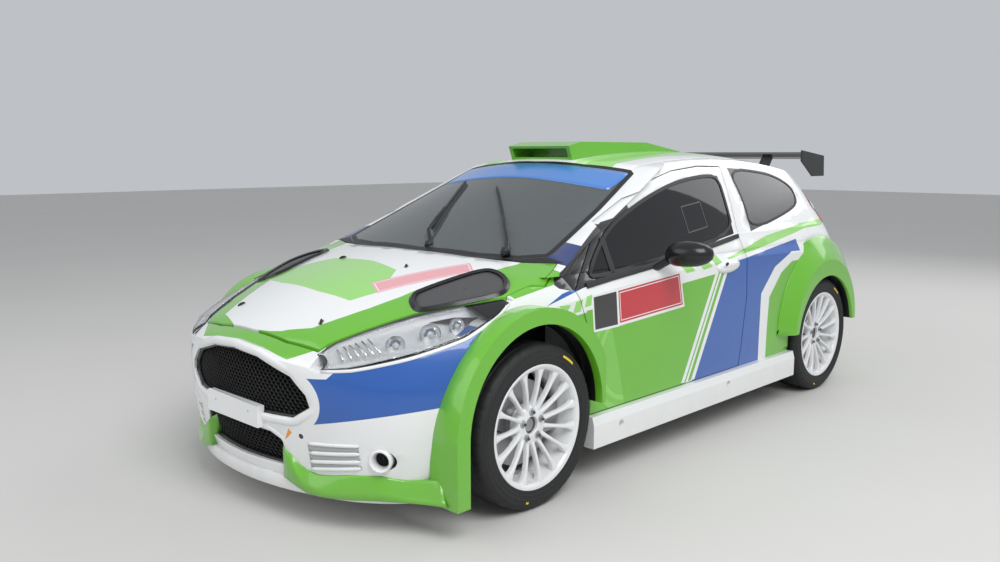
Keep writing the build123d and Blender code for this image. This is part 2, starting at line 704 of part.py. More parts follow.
with BuildPart() as rear_flare:
    for y, reach in ((800, REAR_FLARE_ROOT), (FLARE_REAR_Y, REAR_FLARE_LIP)):
        with BuildSketch(Plane.XZ.offset(-y)):
            with BuildLine():
                arch_front = (REAR_ARCH_X + reach, REAR_FLARE_Z)
                arch_back = (REAR_ARCH_X - reach, REAR_FLARE_Z)
                Line(arch_back, arch_front)
                RadiusArc(arch_front, arch_back, -reach)
            make_face()
    loft()
    add(REAR_OPENING, mode=Mode.SUBTRACT)
    add(OUTSIDE, mode=Mode.SUBTRACT)
emit("rear_flares", rear_flare.part, mirror_part(rear_flare.part))

# Tailgate with its window
tail_window_prism = front_prism(TAIL_WINDOW_HALF, -2200, -1300)
tail_lug = drilled_plate(
    [(TAIL_PIN_X + x, TAIL_PIN_Z + z) for x, z in TAIL_LUG], tail_pin, TAIL_PIN_RADIUS + PIN_CLEAR,
    TAIL_LUG_Y + TAIL_LUG_WIDTH + HINGE_GAP, TAIL_LUG_WIDTH,
)
gate_skin = pick(SHELL, tailgate_prism, [tail_window_prism, gate_notch, mirror_part(gate_notch)])
emit("tailgate", gate_skin, tail_lug, mirror_part(tail_lug))
emit("tailgate_glass", pick(GLASS_SKIN, tail_window_prism))

# Body sides: sill, hinge post, pillars, roof rail and rear quarter in one pressing
side_region = side_prism(BODY_SIDE_LINE, *LEFT)
pillar_box = block(FIREWALL_X, POST_FRONT_X, POST_INNER_Y, 900, FLOOR_Z, 1000)
post = pick(INNER, pillar_box)
post_head = pick(INSIDE, pillar_box, [grown_side_prism(DOOR_LINE, DOOR_CLEAR, *LEFT)])
sill = pick(INSIDE, block(-955, DOOR_FRONT_X + 10, 700, 900, 170, DOOR_SILL_Z - PANEL_GAP))
with BuildPart() as body_side:
    add(pick(SHELL, side_region))
    add(sill)
    add(post)
    add(post_head)
    pin_from = BONNET_ARM_Y
    pin_to = BONNET_ARM_Y + BONNET_ARM_WIDTH + HINGE_GAP
    pin_foot = (BONNET_PIN_X, pin_to, BONNET_PIN_Z)
    add(block(POST_FRONT_X - 5, BONNET_PIN_X + 10, pin_to, pin_to + BONNET_ARM_WIDTH, 885, BONNET_PIN_Z + 10))
    add(rod((BONNET_PIN_X, pin_from, BONNET_PIN_Z), pin_foot, BONNET_PIN_RADIUS))
    for cut in (door_space, side_prism(QUARTER_WINDOW, *LEFT), screen_prism, roof_prism, bonnet_space,
                tailgate_space, tail_lamp_prism, REAR_OPENING, cowl):
        add(cut, mode=Mode.SUBTRACT)
emit("body_side_left", body_side.part)
emit("body_side_right", mirror_part(body_side.part))
BODY_SIDES = [body_side.part, mirror_part(body_side.part)]
quarter_glass = pick(GLASS_SKIN, side_prism(QUARTER_WINDOW, *LEFT))
emit("quarter_windows", quarter_glass, mirror_part(quarter_glass))

# Rear bumper
rear_region = side_prism(REAR_BUMPER_LINE, -1200, 1200)
with BuildPart() as pipe_cut:
    with BuildSketch(Plane.YZ.offset(-2200)):
        with Locations((EXHAUST_Y, EXHAUST_Z)):
            Circle(EXHAUST_RADIUS + 14)
    extrude(amount=700)
rear_cuts = [tailgate_space, REAR_OPENING, mirror_part(REAR_OPENING), pipe_cut.part]
emit("rear_bumper", pick(SHELL, rear_region, rear_cuts))

# Roof scoop with its air slot, and the wipers
with BuildPart() as scoop:
    with BuildSketch(Plane.XZ.offset(-SCOOP_HALF_WIDTH)):
        with BuildLine():
            Polyline(*SCOOP_LINE, close=True)
        make_face()
    extrude(amount=2 * SCOOP_HALF_WIDTH)
    add(OUTSIDE, mode=Mode.SUBTRACT)
    add(block(60, 400, 22 - SCOOP_HALF_WIDTH, SCOOP_HALF_WIDTH - 22, SCOOP_SLOT_Z, SCOOP_SLOT_Z + 44),
        mode=Mode.SUBTRACT)
emit("roof_scoop", scoop.part)

wiper_parts = []
for foot, elbow, tip in WIPERS:
    wiper_parts.append(rod(foot, elbow, WIPER_RADIUS))
    wiper_parts.append(rod(elbow, tip, WIPER_RADIUS * 0.8))
    wiper_parts.append(rod((foot[0], foot[1], foot[2] - 45), foot, WIPER_RADIUS * 1.8))
emit("wipers", *[pick(part, part, [OUTSIDE]) for part in wiper_parts])

# Rear wing on the tailgate: plane, end plates and two feet
with BuildPart() as wing:
    with BuildSketch(Plane.XZ.offset(-WING_HALF_SPAN)):
        with BuildLine():
            Polyline(*WING_LINE, close=True)
        make_face()
    extrude(amount=2 * WING_HALF_SPAN)
    for y in (WING_HALF_SPAN, -WING_HALF_SPAN - WING_PLATE_THICK):
        add(side_prism(WING_PLATE_LINE, y, y + WING_PLATE_THICK))
    for y in (-WING_FOOT_Y, WING_FOOT_Y):
        add(side_prism(WING_FOOT_LINE, y - WING_PLATE_THICK / 2, y + WING_PLATE_THICK / 2))
    add(OUTSIDE, mode=Mode.SUBTRACT)
emit("rear_wing", wing.part)

# Grilles: pierced walls set back in the bumper's openings
GRILLES = [
    # name, half outline, columns and rows of cells, height of the middle row
    ("upper_grille", UPPER_GRILLE_HALF, 21, 7, 515),
    ("lower_grille", LOWER_GRILLE_HALF, 17, 3, 282),
]
for grille_name, half, columns, rows, middle_z in GRILLES:
    inner_face = body_volume(GRILLE_INSET + GRILLE_THICK, 0)
    wall = pick(body_volume(GRILLE_INSET, 0), front_prism(half, 1500, 2200), [inner_face])
    with BuildPart() as cells:
        with BuildSketch(Plane.YZ.offset(1500)):
            with Locations((0, middle_z)):
                with HexLocations(GRILLE_PITCH / 2, columns, rows):
                    RegularPolygon(GRILLE_PITCH / 2 - GRILLE_BAR, 6, major_radius=False)
        extrude(amount=700)
    holes = pick(cells.part, front_prism(half, 1500, 2200, -GRILLE_RIM))
    emit(grille_name, pick(wall, wall, [holes]))

# Wheel: rim with drop centre, hub, fifteen spokes and brake disc, its axis along Y.
# Its outer face is at Y = 0, and the rest lies at negative Y.
def disc_ring(outer, inner, y_from, y_to):
    """A flat ring about the wheel's axis."""
    with BuildPart() as ring:
        with BuildSketch(Plane.XZ.offset(-y_from)):
            Circle(outer)
            if inner:
                Circle(inner, mode=Mode.SUBTRACT)
        extrude(amount=-(y_to - y_from))
    return ring.part


with BuildPart() as rim:
    with BuildSketch(Plane.XY):
        with BuildLine():
            Polyline(
                (RIM_RADIUS, 0), (RIM_RADIUS, -RIM_FLANGE), (BEAD_RADIUS, -RIM_FLANGE - 6),
                (BEAD_RADIUS, -42), (DROP_RADIUS, -62), (DROP_RADIUS, -120), (BEAD_RADIUS, -140),
                (BEAD_RADIUS, -RIM_WIDTH + RIM_FLANGE + 6), (RIM_RADIUS, -RIM_WIDTH + RIM_FLANGE),
                (RIM_RADIUS, -RIM_WIDTH), (BEAD_RADIUS - RIM_WALL, -RIM_WIDTH),
                (BEAD_RADIUS - RIM_WALL, -140), (DROP_RADIUS - RIM_WALL, -122),
                (DROP_RADIUS - RIM_WALL, -60), (BEAD_RADIUS - RIM_WALL, -40), (BEAD_RADIUS - RIM_WALL, 0),
                close=True,
            )
        make_face()
    revolve(axis=Axis.Y)
    add(disc_ring(HUB_RADIUS, 0, -HUB_FACE - HUB_DEPTH, -HUB_FACE))
    for index in range(SPOKES):
        with BuildSketch(Plane.XZ.offset(SPOKE_FACE)):
            with Locations(Rotation(0, 0, 360 / SPOKES * index)):
                with BuildLine():
                    Polyline((HUB_RADIUS - 8, -SPOKE_ROOT / 2), (BEAD_RADIUS - 4, -SPOKE_TIP / 2),
                             (BEAD_RADIUS - 4, SPOKE_TIP / 2), (HUB_RADIUS - 8, SPOKE_ROOT / 2), close=True)
                make_face()
    extrude(amount=SPOKE_DEPTH)
    with BuildSketch(Plane.XZ):
        with PolarLocations(NUT_CIRCLE, NUTS):
            Circle(NUT_POCKET)
        Circle(CENTRE_BORE)
    extrude(amount=HUB_FACE + 12, mode=Mode.SUBTRACT)
    add(disc_ring(BRAKE_HAT, 0, -BRAKE_Y, -HUB_FACE - HUB_DEPTH))
    add(disc_ring(BRAKE_RADIUS, 0, -BRAKE_Y - BRAKE_THICK, -BRAKE_Y))
    with BuildSketch(Plane.XZ.offset(HUB_FACE + 12)):
        Circle(STUB_RADIUS + FIT)
    extrude(amount=RIM_WIDTH, mode=Mode.SUBTRACT)

with BuildPart() as tyre:
    with BuildSketch(Plane.XY):
        with BuildLine():
            side = (TYRE_WIDTH - RIM_WIDTH) / 2
            middle = -RIM_WIDTH / 2
            half = TYRE_WIDTH / 2
            Polyline(
                (BEAD_RADIUS + FIT, -RIM_FLANGE - 8), (RIM_RADIUS + 2, -RIM_FLANGE - 2), (RIM_RADIUS + 6, 0),
                (TYRE_RADIUS - 42, side), (TYRE_RADIUS - 14, side - 6), (TYRE_RADIUS - 2, side - 26),
                (TYRE_RADIUS, middle),
                (TYRE_RADIUS - 2, 2 * middle - side + 26), (TYRE_RADIUS - 14, 2 * middle - side + 6),
                (TYRE_RADIUS - 42, 2 * middle - side), (RIM_RADIUS + 6, 2 * middle),
                (RIM_RADIUS + 2, 2 * middle + RIM_FLANGE + 2),
                (BEAD_RADIUS + FIT, 2 * middle + RIM_FLANGE + 8),
                close=True,
            )
        make_face()
    revolve(axis=Axis.Y)

WHEELS = [
    # name, axle x, outer face y
    ("front", FRONT_AXLE_X, FRONT_FACE_Y),
    ("rear", REAR_AXLE_X, REAR_FACE_Y),
]
for name, axle_x, face_y in WHEELS:
    place = Location((axle_x, face_y, HUB_HEIGHT))
    for kind, master in (("rim", rim.part), ("tyre", tyre.part)):
        left = master.moved(place)
        emit(f"{kind}_{name}_left", left)
        emit(f"{kind}_{name}_right", mirror_part(left))

# Floor pan: flat under the cabin, a heel board, and a higher floor between the rear wheels
floor_top = FLOOR_Z + FLOOR_THICK
rear_floor_top = REAR_FLOOR_Z + FLOOR_THICK
with BuildPart() as floor_pan:
    add(pick(INSIDE, block(HEEL_X, FIREWALL_X, -900, 900, FLOOR_Z, floor_top), BODY_SIDES))
    add(block(HEEL_X, HEEL_X + FLOOR_THICK, -REAR_INNER_Y, REAR_INNER_Y, FLOOR_Z, rear_floor_top))
    heel_front = HEEL_X + FLOOR_THICK
    rear_floor = block(-1900, heel_front, -REAR_INNER_Y, REAR_INNER_Y, REAR_FLOOR_Z, rear_floor_top)
    add(pick(INSIDE, rear_floor))
    add(block(HEEL_X, FIREWALL_X, -TUNNEL_HALF_WIDTH, TUNNEL_HALF_WIDTH, FLOOR_Z, FLOOR_Z + TUNNEL_HEIGHT))
    tunnel_inside = TUNNEL_HALF_WIDTH - FLOOR_THICK
    add(block(HEEL_X + FLOOR_THICK, FIREWALL_X, -tunnel_inside, tunnel_inside,
              FLOOR_Z, FLOOR_Z + TUNNEL_HEIGHT - FLOOR_THICK), mode=Mode.SUBTRACT)
emit("floor_pan", floor_pan.part)

# Rear wheelhouses: an arched wall over each wheel, closed on its inner side
rear_well = arch_prism(REAR_ARCH_X, REAR_ARCH_Z, REAR_WELL_RADIUS, REAR_INNER_Y + FLOOR_THICK, 1200)
rear_arch_wall = arch_prism(REAR_ARCH_X, REAR_ARCH_Z, REAR_WELL_RADIUS + FLOOR_THICK, REAR_INNER_Y, 1200)
axle_gate = block(REAR_AXLE_X - 190, REAR_AXLE_X + 190, 0, 640, 0, REAR_FLOOR_Z - 60)
rear_house = pick(
    INSIDE, rear_arch_wall, [rear_well, block(-2200, 0, 0, 1200, 0, HEEL_LOW_Z), axle_gate, body_side.part],
)
emit("rear_wheelhouses", rear_house, mirror_part(rear_house))

# Front structure: bulkhead and cowl shelf, wheelhouse walls and shelves, rails and a crossmember
firewall_back = FIREWALL_X
firewall_front = FIREWALL_X + FIREWALL_THICK
with BuildPart() as front_structure:
    add(block(firewall_back, firewall_front, -POST_INNER_Y, POST_INNER_Y, FLOOR_Z, COWL_SHELF_Z))
    add(block(firewall_back, COWL_NOSE_X, -APRON_Y, APRON_Y, COWL_SHELF_Z - SHEET, COWL_SHELF_Z))
    add(pick(BELOW_TOP, block(COWL_NOSE_X - SHEET, COWL_NOSE_X, -200, 200, COWL_SHELF_Z - SHEET, 1000)))
    for side in (1, -1):
        low, high = sorted((side * APRON_Y, side * (APRON_Y + SHEET)))
        add(block(firewall_back, FRONT_WELL_END, low, high, FLOOR_Z + 60, SHELF_Z + SHEET))
        low, high = sorted((side * APRON_Y, side * 900))
        add(pick(INSIDE, block(DOOR_TIP_X, FRONT_WELL_END, low, high, SHELF_Z, SHELF_Z + SHEET)))
        add(pick(INNER, block(POST_FRONT_X, DOOR_TIP_X, low, high, SHELF_Z, SHELF_Z + SHEET)))
        low, high = sorted((side * APRON_Y, side * 1000))
        gate = block(FRONT_AXLE_X - 170, FRONT_AXLE_X + 170, low, high, 0, GATE_Z)
        add(gate, mode=Mode.SUBTRACT)
        low, high = sorted((side * (APRON_Y - RAIL_WIDTH), side * APRON_Y))
        add(block(firewall_back, CROSSMEMBER_X, low, high, RAIL_Z, RAIL_Z + RAIL_HEIGHT))
    add(pick(INSIDE, block(CROSSMEMBER_X, 2000, -APRON_Y, APRON_Y, RAIL_Z, RAIL_Z + RAIL_HEIGHT)))
    add(bonnet_space, mode=Mode.SUBTRACT)
emit("front_structure", front_structure.part)

# Front subframe: crossbeam, posts up to the rails, and to each wheel two arms and a spring unit
with BuildPart() as front_subframe:
    beam_y = APRON_Y - RAIL_WIDTH
    add(block(SUBFRAME_X - 130, SUBFRAME_X + 130, -beam_y, beam_y, ARM_TOP_Z - ARM_THICK, ARM_TOP_Z))
    for side in (1, -1):
        for x in (SUBFRAME_X - 105, SUBFRAME_X + 105):
            low, high = sorted((side * (APRON_Y - RAIL_WIDTH - 5), side * (APRON_Y - 8)))
            add(block(x - 20, x + 20, low, high, ARM_TOP_Z - ARM_THICK, RAIL_Z))
        with BuildSketch(Plane.XY.offset(ARM_TOP_Z - ARM_THICK)):
            with BuildLine():
                Polyline(
                    (FRONT_AXLE_X - 120, side * (APRON_Y - 60)),
                    (FRONT_AXLE_X - 35, side * (KINGPIN_Y + 25)),
                    (FRONT_AXLE_X + 35, side * (KINGPIN_Y + 25)),
                    (FRONT_AXLE_X + 120, side * (APRON_Y - 60)),
                    close=True,
                )
            make_face()
        extrude(amount=ARM_THICK)
        spring_y = side * STRUT_Y
        spring_top = (FRONT_AXLE_X, spring_y, SHELF_Z - FIT)
        add(rod((FRONT_AXLE_X, spring_y, ARM_TOP_Z - 5), spring_top, STRUT_RADIUS))
        add(rod((FRONT_AXLE_X, spring_y, SPRING_Z), (FRONT_AXLE_X, spring_y, SHELF_Z - 20), SPRING_RADIUS))
        for x in (FRONT_AXLE_X - UPPER_ARM_SPREAD, FRONT_AXLE_X + UPPER_ARM_SPREAD):
            arm_end = (FRONT_AXLE_X, side * KINGPIN_Y, UPPER_ARM_Z)
            add(rod((x, side * UPPER_ARM_FOOT_Y, UPPER_ARM_Z), arm_end, UPPER_ARM_RADIUS))
        with Locations(arm_end):
            Sphere(UPPER_ARM_RADIUS)
emit("front_subframe", front_subframe.part)

# Engine: one plain block at its real place
emit("engine_block", block(*ENGINE_BOX_X, *ENGINE_BOX_Y, ARM_TOP_Z, ENGINE_TOP_Z))

# Front knuckles: hub carrier with stub axle and brake caliper
upright_outer = FRONT_FACE_Y - BRAKE_Y - BRAKE_THICK - 8
hub_inner_face = FRONT_FACE_Y - HUB_FACE - 20
with BuildPart() as knuckle:
    upright_low = ARM_TOP_Z + FIT
    upright_high = UPPER_ARM_Z - UPPER_ARM_RADIUS - FIT
    add(block(
        FRONT_AXLE_X - 42, FRONT_AXLE_X + 42, KINGPIN_Y - 30, upright_outer, upright_low, upright_high,
    ))
    add(rod((FRONT_AXLE_X, KINGPIN_Y, HUB_HEIGHT), (FRONT_AXLE_X, hub_inner_face, HUB_HEIGHT), STUB_RADIUS))
    caliper_x = FRONT_AXLE_X - CALIPER_REACH
    caliper_low = HUB_HEIGHT - 60
    caliper_high = HUB_HEIGHT + 60
    caliper_outer = FRONT_FACE_Y - BRAKE_Y + 30
    add(block(caliper_x, FRONT_AXLE_X, upright_outer - 24, upright_outer, caliper_low, caliper_high))
    add(block(
        caliper_x, FRONT_AXLE_X - BRAKE_HAT - 15, upright_outer, caliper_outer, caliper_low, caliper_high,
    ))
    with BuildSketch(Plane.XZ.offset(-(upright_outer + 3))):
        with Locations((FRONT_AXLE_X, HUB_HEIGHT)):
            Circle(BRAKE_RADIUS + 5)
            Circle(STUB_RADIUS, mode=Mode.SUBTRACT)
    extrude(amount=-(BRAKE_THICK + 10), mode=Mode.SUBTRACT)
emit("knuckle_left", knuckle.part)
emit("knuckle_right", mirror_part(knuckle.part))

# Rear axle: beam with trailing arms, springs, uprights and stub axles
rear_upright = REAR_FACE_Y - BRAKE_Y - BRAKE_THICK - 8
rear_stub = REAR_FACE_Y - HUB_FACE - 20
with BuildPart() as rear_axle:
    add(block(REAR_AXLE_X - 45, REAR_AXLE_X + 45, -rear_upright + 60, rear_upright - 60, BEAM_Z, BEAM_Z + 75))
    for side in (1, -1):
        low, high = sorted((side * (rear_upright - 60), side * rear_upright))
        add(block(REAR_AXLE_X - 45, REAR_AXLE_X + 45, low, high, HUB_HEIGHT - 80, HUB_HEIGHT + 30))
        stub_from = (REAR_AXLE_X, side * (rear_upright - 40), HUB_HEIGHT)
        add(rod(stub_from, (REAR_AXLE_X, side * rear_stub, HUB_HEIGHT), STUB_RADIUS))
        low, high = sorted((side * (REAR_INNER_Y - 60), side * (REAR_INNER_Y - 15)))
        add(block(REAR_AXLE_X, HEEL_X, low, high, BEAM_Z, BEAM_Z + 60))
        spring_y = side * (REAR_INNER_Y - 60)
        add(rod((REAR_AXLE_X, spring_y, BEAM_Z + 60), (REAR_AXLE_X, spring_y, REAR_FLOOR_Z), 45))
emit("rear_axle", rear_axle.part)

# Exhaust: one pipe from the heel board out through the rear bumper
with BuildPart() as exhaust:
    with BuildSketch(Plane.YZ.offset(HEEL_X)):
        with Locations((EXHAUST_Y, EXHAUST_Z)):
            Circle(EXHAUST_RADIUS)
    extrude(amount=-(HEEL_X + EXHAUST_END))
    with BuildSketch(Plane.YZ.offset(-EXHAUST_END)):
        with Locations((EXHAUST_Y, EXHAUST_Z)):
            Circle(EXHAUST_RADIUS - 5)
    extrude(amount=300, mode=Mode.SUBTRACT)
emit("exhaust", exhaust.part)

# Cabin: dashboard, steering wheel, two bucket seats and the roll cage
with BuildPart() as dashboard:
    with BuildSketch(Plane.XZ.offset(-DASH_HALF_WIDTH)):
        with BuildLine():
            Polyline(*DASH_PROFILE, close=True)
        make_face()
    extrude(amount=2 * DASH_HALF_WIDTH)
emit("dashboard", dashboard.part)

column_axis = Vector(-cos(radians(COLUMN_TILT)), 0, sin(radians(COLUMN_TILT)))
wheel_centre = Vector(STEERING_WHEEL_X, DRIVER_Y, STEERING_WHEEL_Z)
with BuildPart() as steering_wheel:
    with BuildSketch(Plane(origin=wheel_centre, x_dir=(0, 1, 0), z_dir=Vector(0, 1, 0).cross(column_axis))):
        with Locations((STEERING_WHEEL_RADIUS, 0)):
            Circle(14)
    revolve(axis=Axis(wheel_centre, column_axis))
    with BuildSketch(Plane(origin=wheel_centre - column_axis * 6, x_dir=(0, 1, 0), z_dir=column_axis)):
        Circle(34)
        for angle in (0, 180, 270):
            with Locations(Rotation(0, 0, angle)):
                with Locations((STEERING_WHEEL_RADIUS / 2, 0)):
                    Rectangle(STEERING_WHEEL_RADIUS, 26)
    extrude(amount=12)
    column_end = wheel_centre - column_axis * COLUMN_LENGTH
    add(rod(tuple(column_end), tuple(wheel_centre), 22))
    add(dashboard.part, mode=Mode.SUBTRACT)
emit("steering_wheel", steering_wheel.part)


def seat(centre_y):
    """A bucket seat: a padded shell with raised sides, on two rails to the floor."""
    with BuildPart() as bucket:
        add(side_prism(SEAT_PAD, centre_y - SEAT_HALF_WIDTH, centre_y + SEAT_HALF_WIDTH))
        for edge in (centre_y - SEAT_HALF_WIDTH, centre_y + SEAT_HALF_WIDTH - SEAT_BOLSTER):
            add(side_prism(SEAT_SIDE, edge, edge + SEAT_BOLSTER))
            add(block(-320, 140, edge, edge + 30, floor_top, 250))
    return bucket.part


emit("seats", seat(DRIVER_Y), seat(-DRIVER_Y))

cage_nodes = {name: (x, y, z) for name, x, y, z in CAGE_POINTS}
with BuildPart() as roll_cage:
    for first, second in CAGE_TUBES:
        for side in (1, -1):
            ends = []
            for node in (first, second):
                x, y, z = cage_nodes[node.strip("*")]
                ends.append((x, (-side if "*" in node else side) * y, z))
            add(rod(*ends, CAGE_RADIUS))
            for end in ends:
                with Locations(end):
                    Sphere(CAGE_RADIUS)
    add(block(-2000, 2000, -900, 900, 0, floor_top), mode=Mode.SUBTRACT)
    add(block(-2000, HEEL_X + FLOOR_THICK, -900, 900, 0, rear_floor_top), mode=Mode.SUBTRACT)
emit("roll_cage", roll_cage.part)
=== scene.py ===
"""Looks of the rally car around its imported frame: metres, +X forward, +Y left, +Z up."""
import math

import bmesh
import bpy
from mathutils import Matrix, Vector
from mathutils.bvhtree import BVHTree


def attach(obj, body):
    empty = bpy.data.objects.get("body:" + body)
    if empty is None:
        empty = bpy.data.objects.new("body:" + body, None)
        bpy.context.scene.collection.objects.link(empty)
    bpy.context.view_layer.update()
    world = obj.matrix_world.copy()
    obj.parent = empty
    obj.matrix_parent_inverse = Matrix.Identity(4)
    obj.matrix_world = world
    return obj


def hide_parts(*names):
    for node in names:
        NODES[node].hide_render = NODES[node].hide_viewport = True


# The photograph's camera
CAMERA_PLACE = Vector((3.6769, 3.0855, 1.3603))
CAMERA_TARGET = Vector((0.1220, -0.3608, 0.66315))
CAMERA_LENS_MM = 32.38
CAMERA_SENSOR_MM = 36.0

# Colours of the paint and of what it is trimmed with
WHITE = (0.84, 0.85, 0.85)
GREEN = (0.135, 0.47, 0.018)
LIGHT_GREEN = (0.30, 0.68, 0.15)
PALE_GREEN = (0.50, 0.83, 0.36)
BLUE = (0.012, 0.10, 0.42)
DARK_BLUE = (0.01, 0.03, 0.16)
RED = (0.55, 0.012, 0.025)
PINK = (0.80, 0.36, 0.40)
BLACK = (0.012, 0.012, 0.013)
GREY = (0.055, 0.058, 0.062)
ORANGE = (0.85, 0.30, 0.02)
SUN_BLUE = (0.06, 0.22, 0.62)
DUST = (0.34, 0.30, 0.25)

# Where painted fields end, how the lacquer shines and how high the dust reaches
EDGE_SHARPNESS = 1500.0
COAT_ROUGHNESS = 0.06
DUST_TOP = 0.40

# Where the wheels are, and the openings round them as a centre and a radius in X and Z
FRONT_AXLE = Vector((1.1815, 0.875, 0.325))
REAR_AXLE = Vector((-1.3115, 0.850, 0.325))
FRONT_ARCH = ((1.2000, 0.355), 0.3775)
REAR_ARCH = ((-1.3115, 0.318), 0.3545)

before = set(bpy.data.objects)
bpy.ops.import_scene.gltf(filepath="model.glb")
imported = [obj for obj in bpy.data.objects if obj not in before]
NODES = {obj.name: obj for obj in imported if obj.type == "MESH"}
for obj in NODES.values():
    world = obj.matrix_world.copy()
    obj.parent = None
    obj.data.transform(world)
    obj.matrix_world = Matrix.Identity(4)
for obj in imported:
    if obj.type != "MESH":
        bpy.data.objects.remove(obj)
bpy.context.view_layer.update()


def signed_area(points):
    """Positive where the points run anticlockwise."""
    total = 0.0
    for index, (u, v) in enumerate(points):
        next_u, next_v = points[(index + 1) % len(points)]
        total += u * next_v - next_u * v
    return total


# Colours are worked out from the surface's own coordinates

class Paint:
    """A material whose colour is laid on in fields, each a mask over object coordinates."""

    def __init__(self, name, base, roughness, metallic=0.0, coat=0.0, sheen=0.0, transmission=0.0):
        self.material = bpy.data.materials.new(name)
        self.material.use_nodes = True
        self.tree = self.material.node_tree
        self.shader = self.tree.nodes["Principled BSDF"]
        for socket, value in (
            ("Roughness", roughness), ("Metallic", metallic), ("Coat Weight", coat),
            ("Coat Roughness", COAT_ROUGHNESS), ("Sheen Weight", sheen),
            ("Transmission Weight", transmission),
        ):
            self.shader.inputs[socket].default_value = value
        coordinates = self.tree.nodes.new("ShaderNodeTexCoord")
        self.place = coordinates.outputs["Object"]
        self.x, self.raw_y, self.z = self.separate(self.place)
        self.y = self.calc("ABSOLUTE", self.raw_y)
        self.face_y, self.face_z = self.separate(coordinates.outputs["Normal"])[1:]
        colour = self.tree.nodes.new("ShaderNodeRGB")
        colour.outputs[0].default_value = (*base, 1)
        self.colour = colour.outputs[0]

    def calc(self, operation, *values):
        """One maths node over numbers or sockets."""
        node = self.tree.nodes.new("ShaderNodeMath")
        node.operation = operation
        for socket, value in zip(node.inputs, values):
            if isinstance(value, (int, float)):
                socket.default_value = value
            else:
                self.tree.links.new(value, socket)
        return node.outputs[0]

    def combine(self, operation, masks):
        """All masks folded into one, by MINIMUM or MAXIMUM."""
        result = masks[0]
        for mask in masks[1:]:
            result = self.calc(operation, result, mask)
        return result

    def separate(self, vector):
        """The three parts of a vector socket."""
        parts = self.tree.nodes.new("ShaderNodeSeparateXYZ")
        self.tree.links.new(vector, parts.inputs[0])
        return list(parts.outputs)

    def half_plane(self, u, v, start, end):
        """Signed distance to the left of the line from start to end."""
        along = (Vector(end) - Vector(start)).normalized()
        across = Vector((-along.y, along.x))
        offset = -across.dot(Vector(start))
        partial = self.calc("MULTIPLY_ADD", u, across.x, offset)
        return self.calc("MULTIPLY_ADD", v, across.y, partial)

    def polygon(self, u, v, points):
        """Signed distance inside a convex polygon."""
        if signed_area(points) < 0:
            points = points[::-1]
        edges = [
            self.half_plane(u, v, points[index], points[(index + 1) % len(points)])
            for index in range(len(points))
        ]
        return self.combine("MINIMUM", edges)

    def circle(self, u, v, centre, radius):
        """Signed distance inside a circle."""
        du = self.calc("SUBTRACT", u, centre[0])
        dv = self.calc("SUBTRACT", v, centre[1])
        square = self.calc("MULTIPLY_ADD", du, du, self.calc("MULTIPLY", dv, dv))
        return self.calc("SUBTRACT", radius, self.calc("SQRT", square))

    def both(self, *fields):
        """Where all fields are positive."""
        return self.combine("MINIMUM", fields)

    def any(self, *fields):
        """Where one field or another is positive."""
        return self.combine("MAXIMUM", fields)

    def without(self, field, removed):
        """A field less another one."""
        return self.calc("MINIMUM", field, self.calc("MULTIPLY", removed, -1.0))

    def grown(self, field, amount):
        """A field whose edge lies further out by amount."""
        return self.calc("ADD", field, amount)

    def lay(self, amount, colour):
        """Mix a colour over what is there, by amount."""
        node = self.tree.nodes.new("ShaderNodeMix")
        node.data_type = "RGBA"
        self.tree.links.new(amount, node.inputs["Factor"])
        self.tree.links.new(self.colour, node.inputs[6])
        node.inputs[7].default_value = (*colour, 1)
        self.colour = node.outputs[2]

    def fill(self, field, colour, strength=1.0):
        """Lay a colour over the places where the field is positive."""
        clamp = self.tree.nodes.new("ShaderNodeClamp")
        self.tree.links.new(self.calc("MULTIPLY_ADD", field, EDGE_SHARPNESS, 0.5), clamp.inputs["Value"])
        clamp.inputs["Max"].default_value = strength
        self.lay(clamp.outputs[0], colour)

    def patch(self, u, v, colour, *outlines):
        """Fill some convex outlines with one colour."""
        self.fill(self.any(*[self.polygon(u, v, outline) for outline in outlines]), colour)

    def inner_line(self, field):
        """A thin white line just inside a field's edge."""
        self.fill(self.without(self.grown(field, -0.008), self.grown(field, -0.012)), WHITE)

    def noise(self, scale, detail=4.0):
        """Noise of one scale over the object, from 0 to 1."""
        node = self.tree.nodes.new("ShaderNodeTexNoise")
        node.inputs["Scale"].default_value = scale
        node.inputs["Detail"].default_value = detail
        self.tree.links.new(self.place, node.inputs["Vector"])
        return node.outputs["Fac"]

    def vary(self, scale, amount):
        """Let the colour drift a little lighter and darker."""
        factor = self.calc("MULTIPLY_ADD", self.noise(scale), 2 * amount, 1 - amount)
        node = self.tree.nodes.new("ShaderNodeVectorMath")
        node.operation = "SCALE"
        self.tree.links.new(self.colour, node.inputs[0])
        self.tree.links.new(factor, node.inputs["Scale"])
        self.colour = node.outputs[0]

    def dust(self, top, strength):
        """Road dust that fades out at height top."""
        height = self.calc("DIVIDE", self.calc("SUBTRACT", top, self.z), top)
        rising = self.calc("MAXIMUM", height, 0.0)
        amount = self.calc("MULTIPLY", self.calc("POWER", rising, 1.5), self.noise(14))
        self.lay(self.calc("MULTIPLY", amount, strength), DUST)

    def rough(self, low, high, scale=30.0):
        """Roughness that varies between two values."""
        value = self.calc("MULTIPLY_ADD", self.noise(scale), high - low, low)
        self.tree.links.new(value, self.shader.inputs["Roughness"])

    def bump(self, height, distance, strength):
        """Fine relief of the surface."""
        node = self.tree.nodes.new("ShaderNodeBump")
        node.inputs["Distance"].default_value = distance
        node.inputs["Strength"].default_value = strength
        self.tree.links.new(height, node.inputs["Height"])
        self.tree.links.new(node.outputs[0], self.shader.inputs["Normal"])

    def done(self):
        """The material with its colour joined to the shader."""
        self.tree.links.new(self.colour, self.shader.inputs["Base Color"])
        return self.material


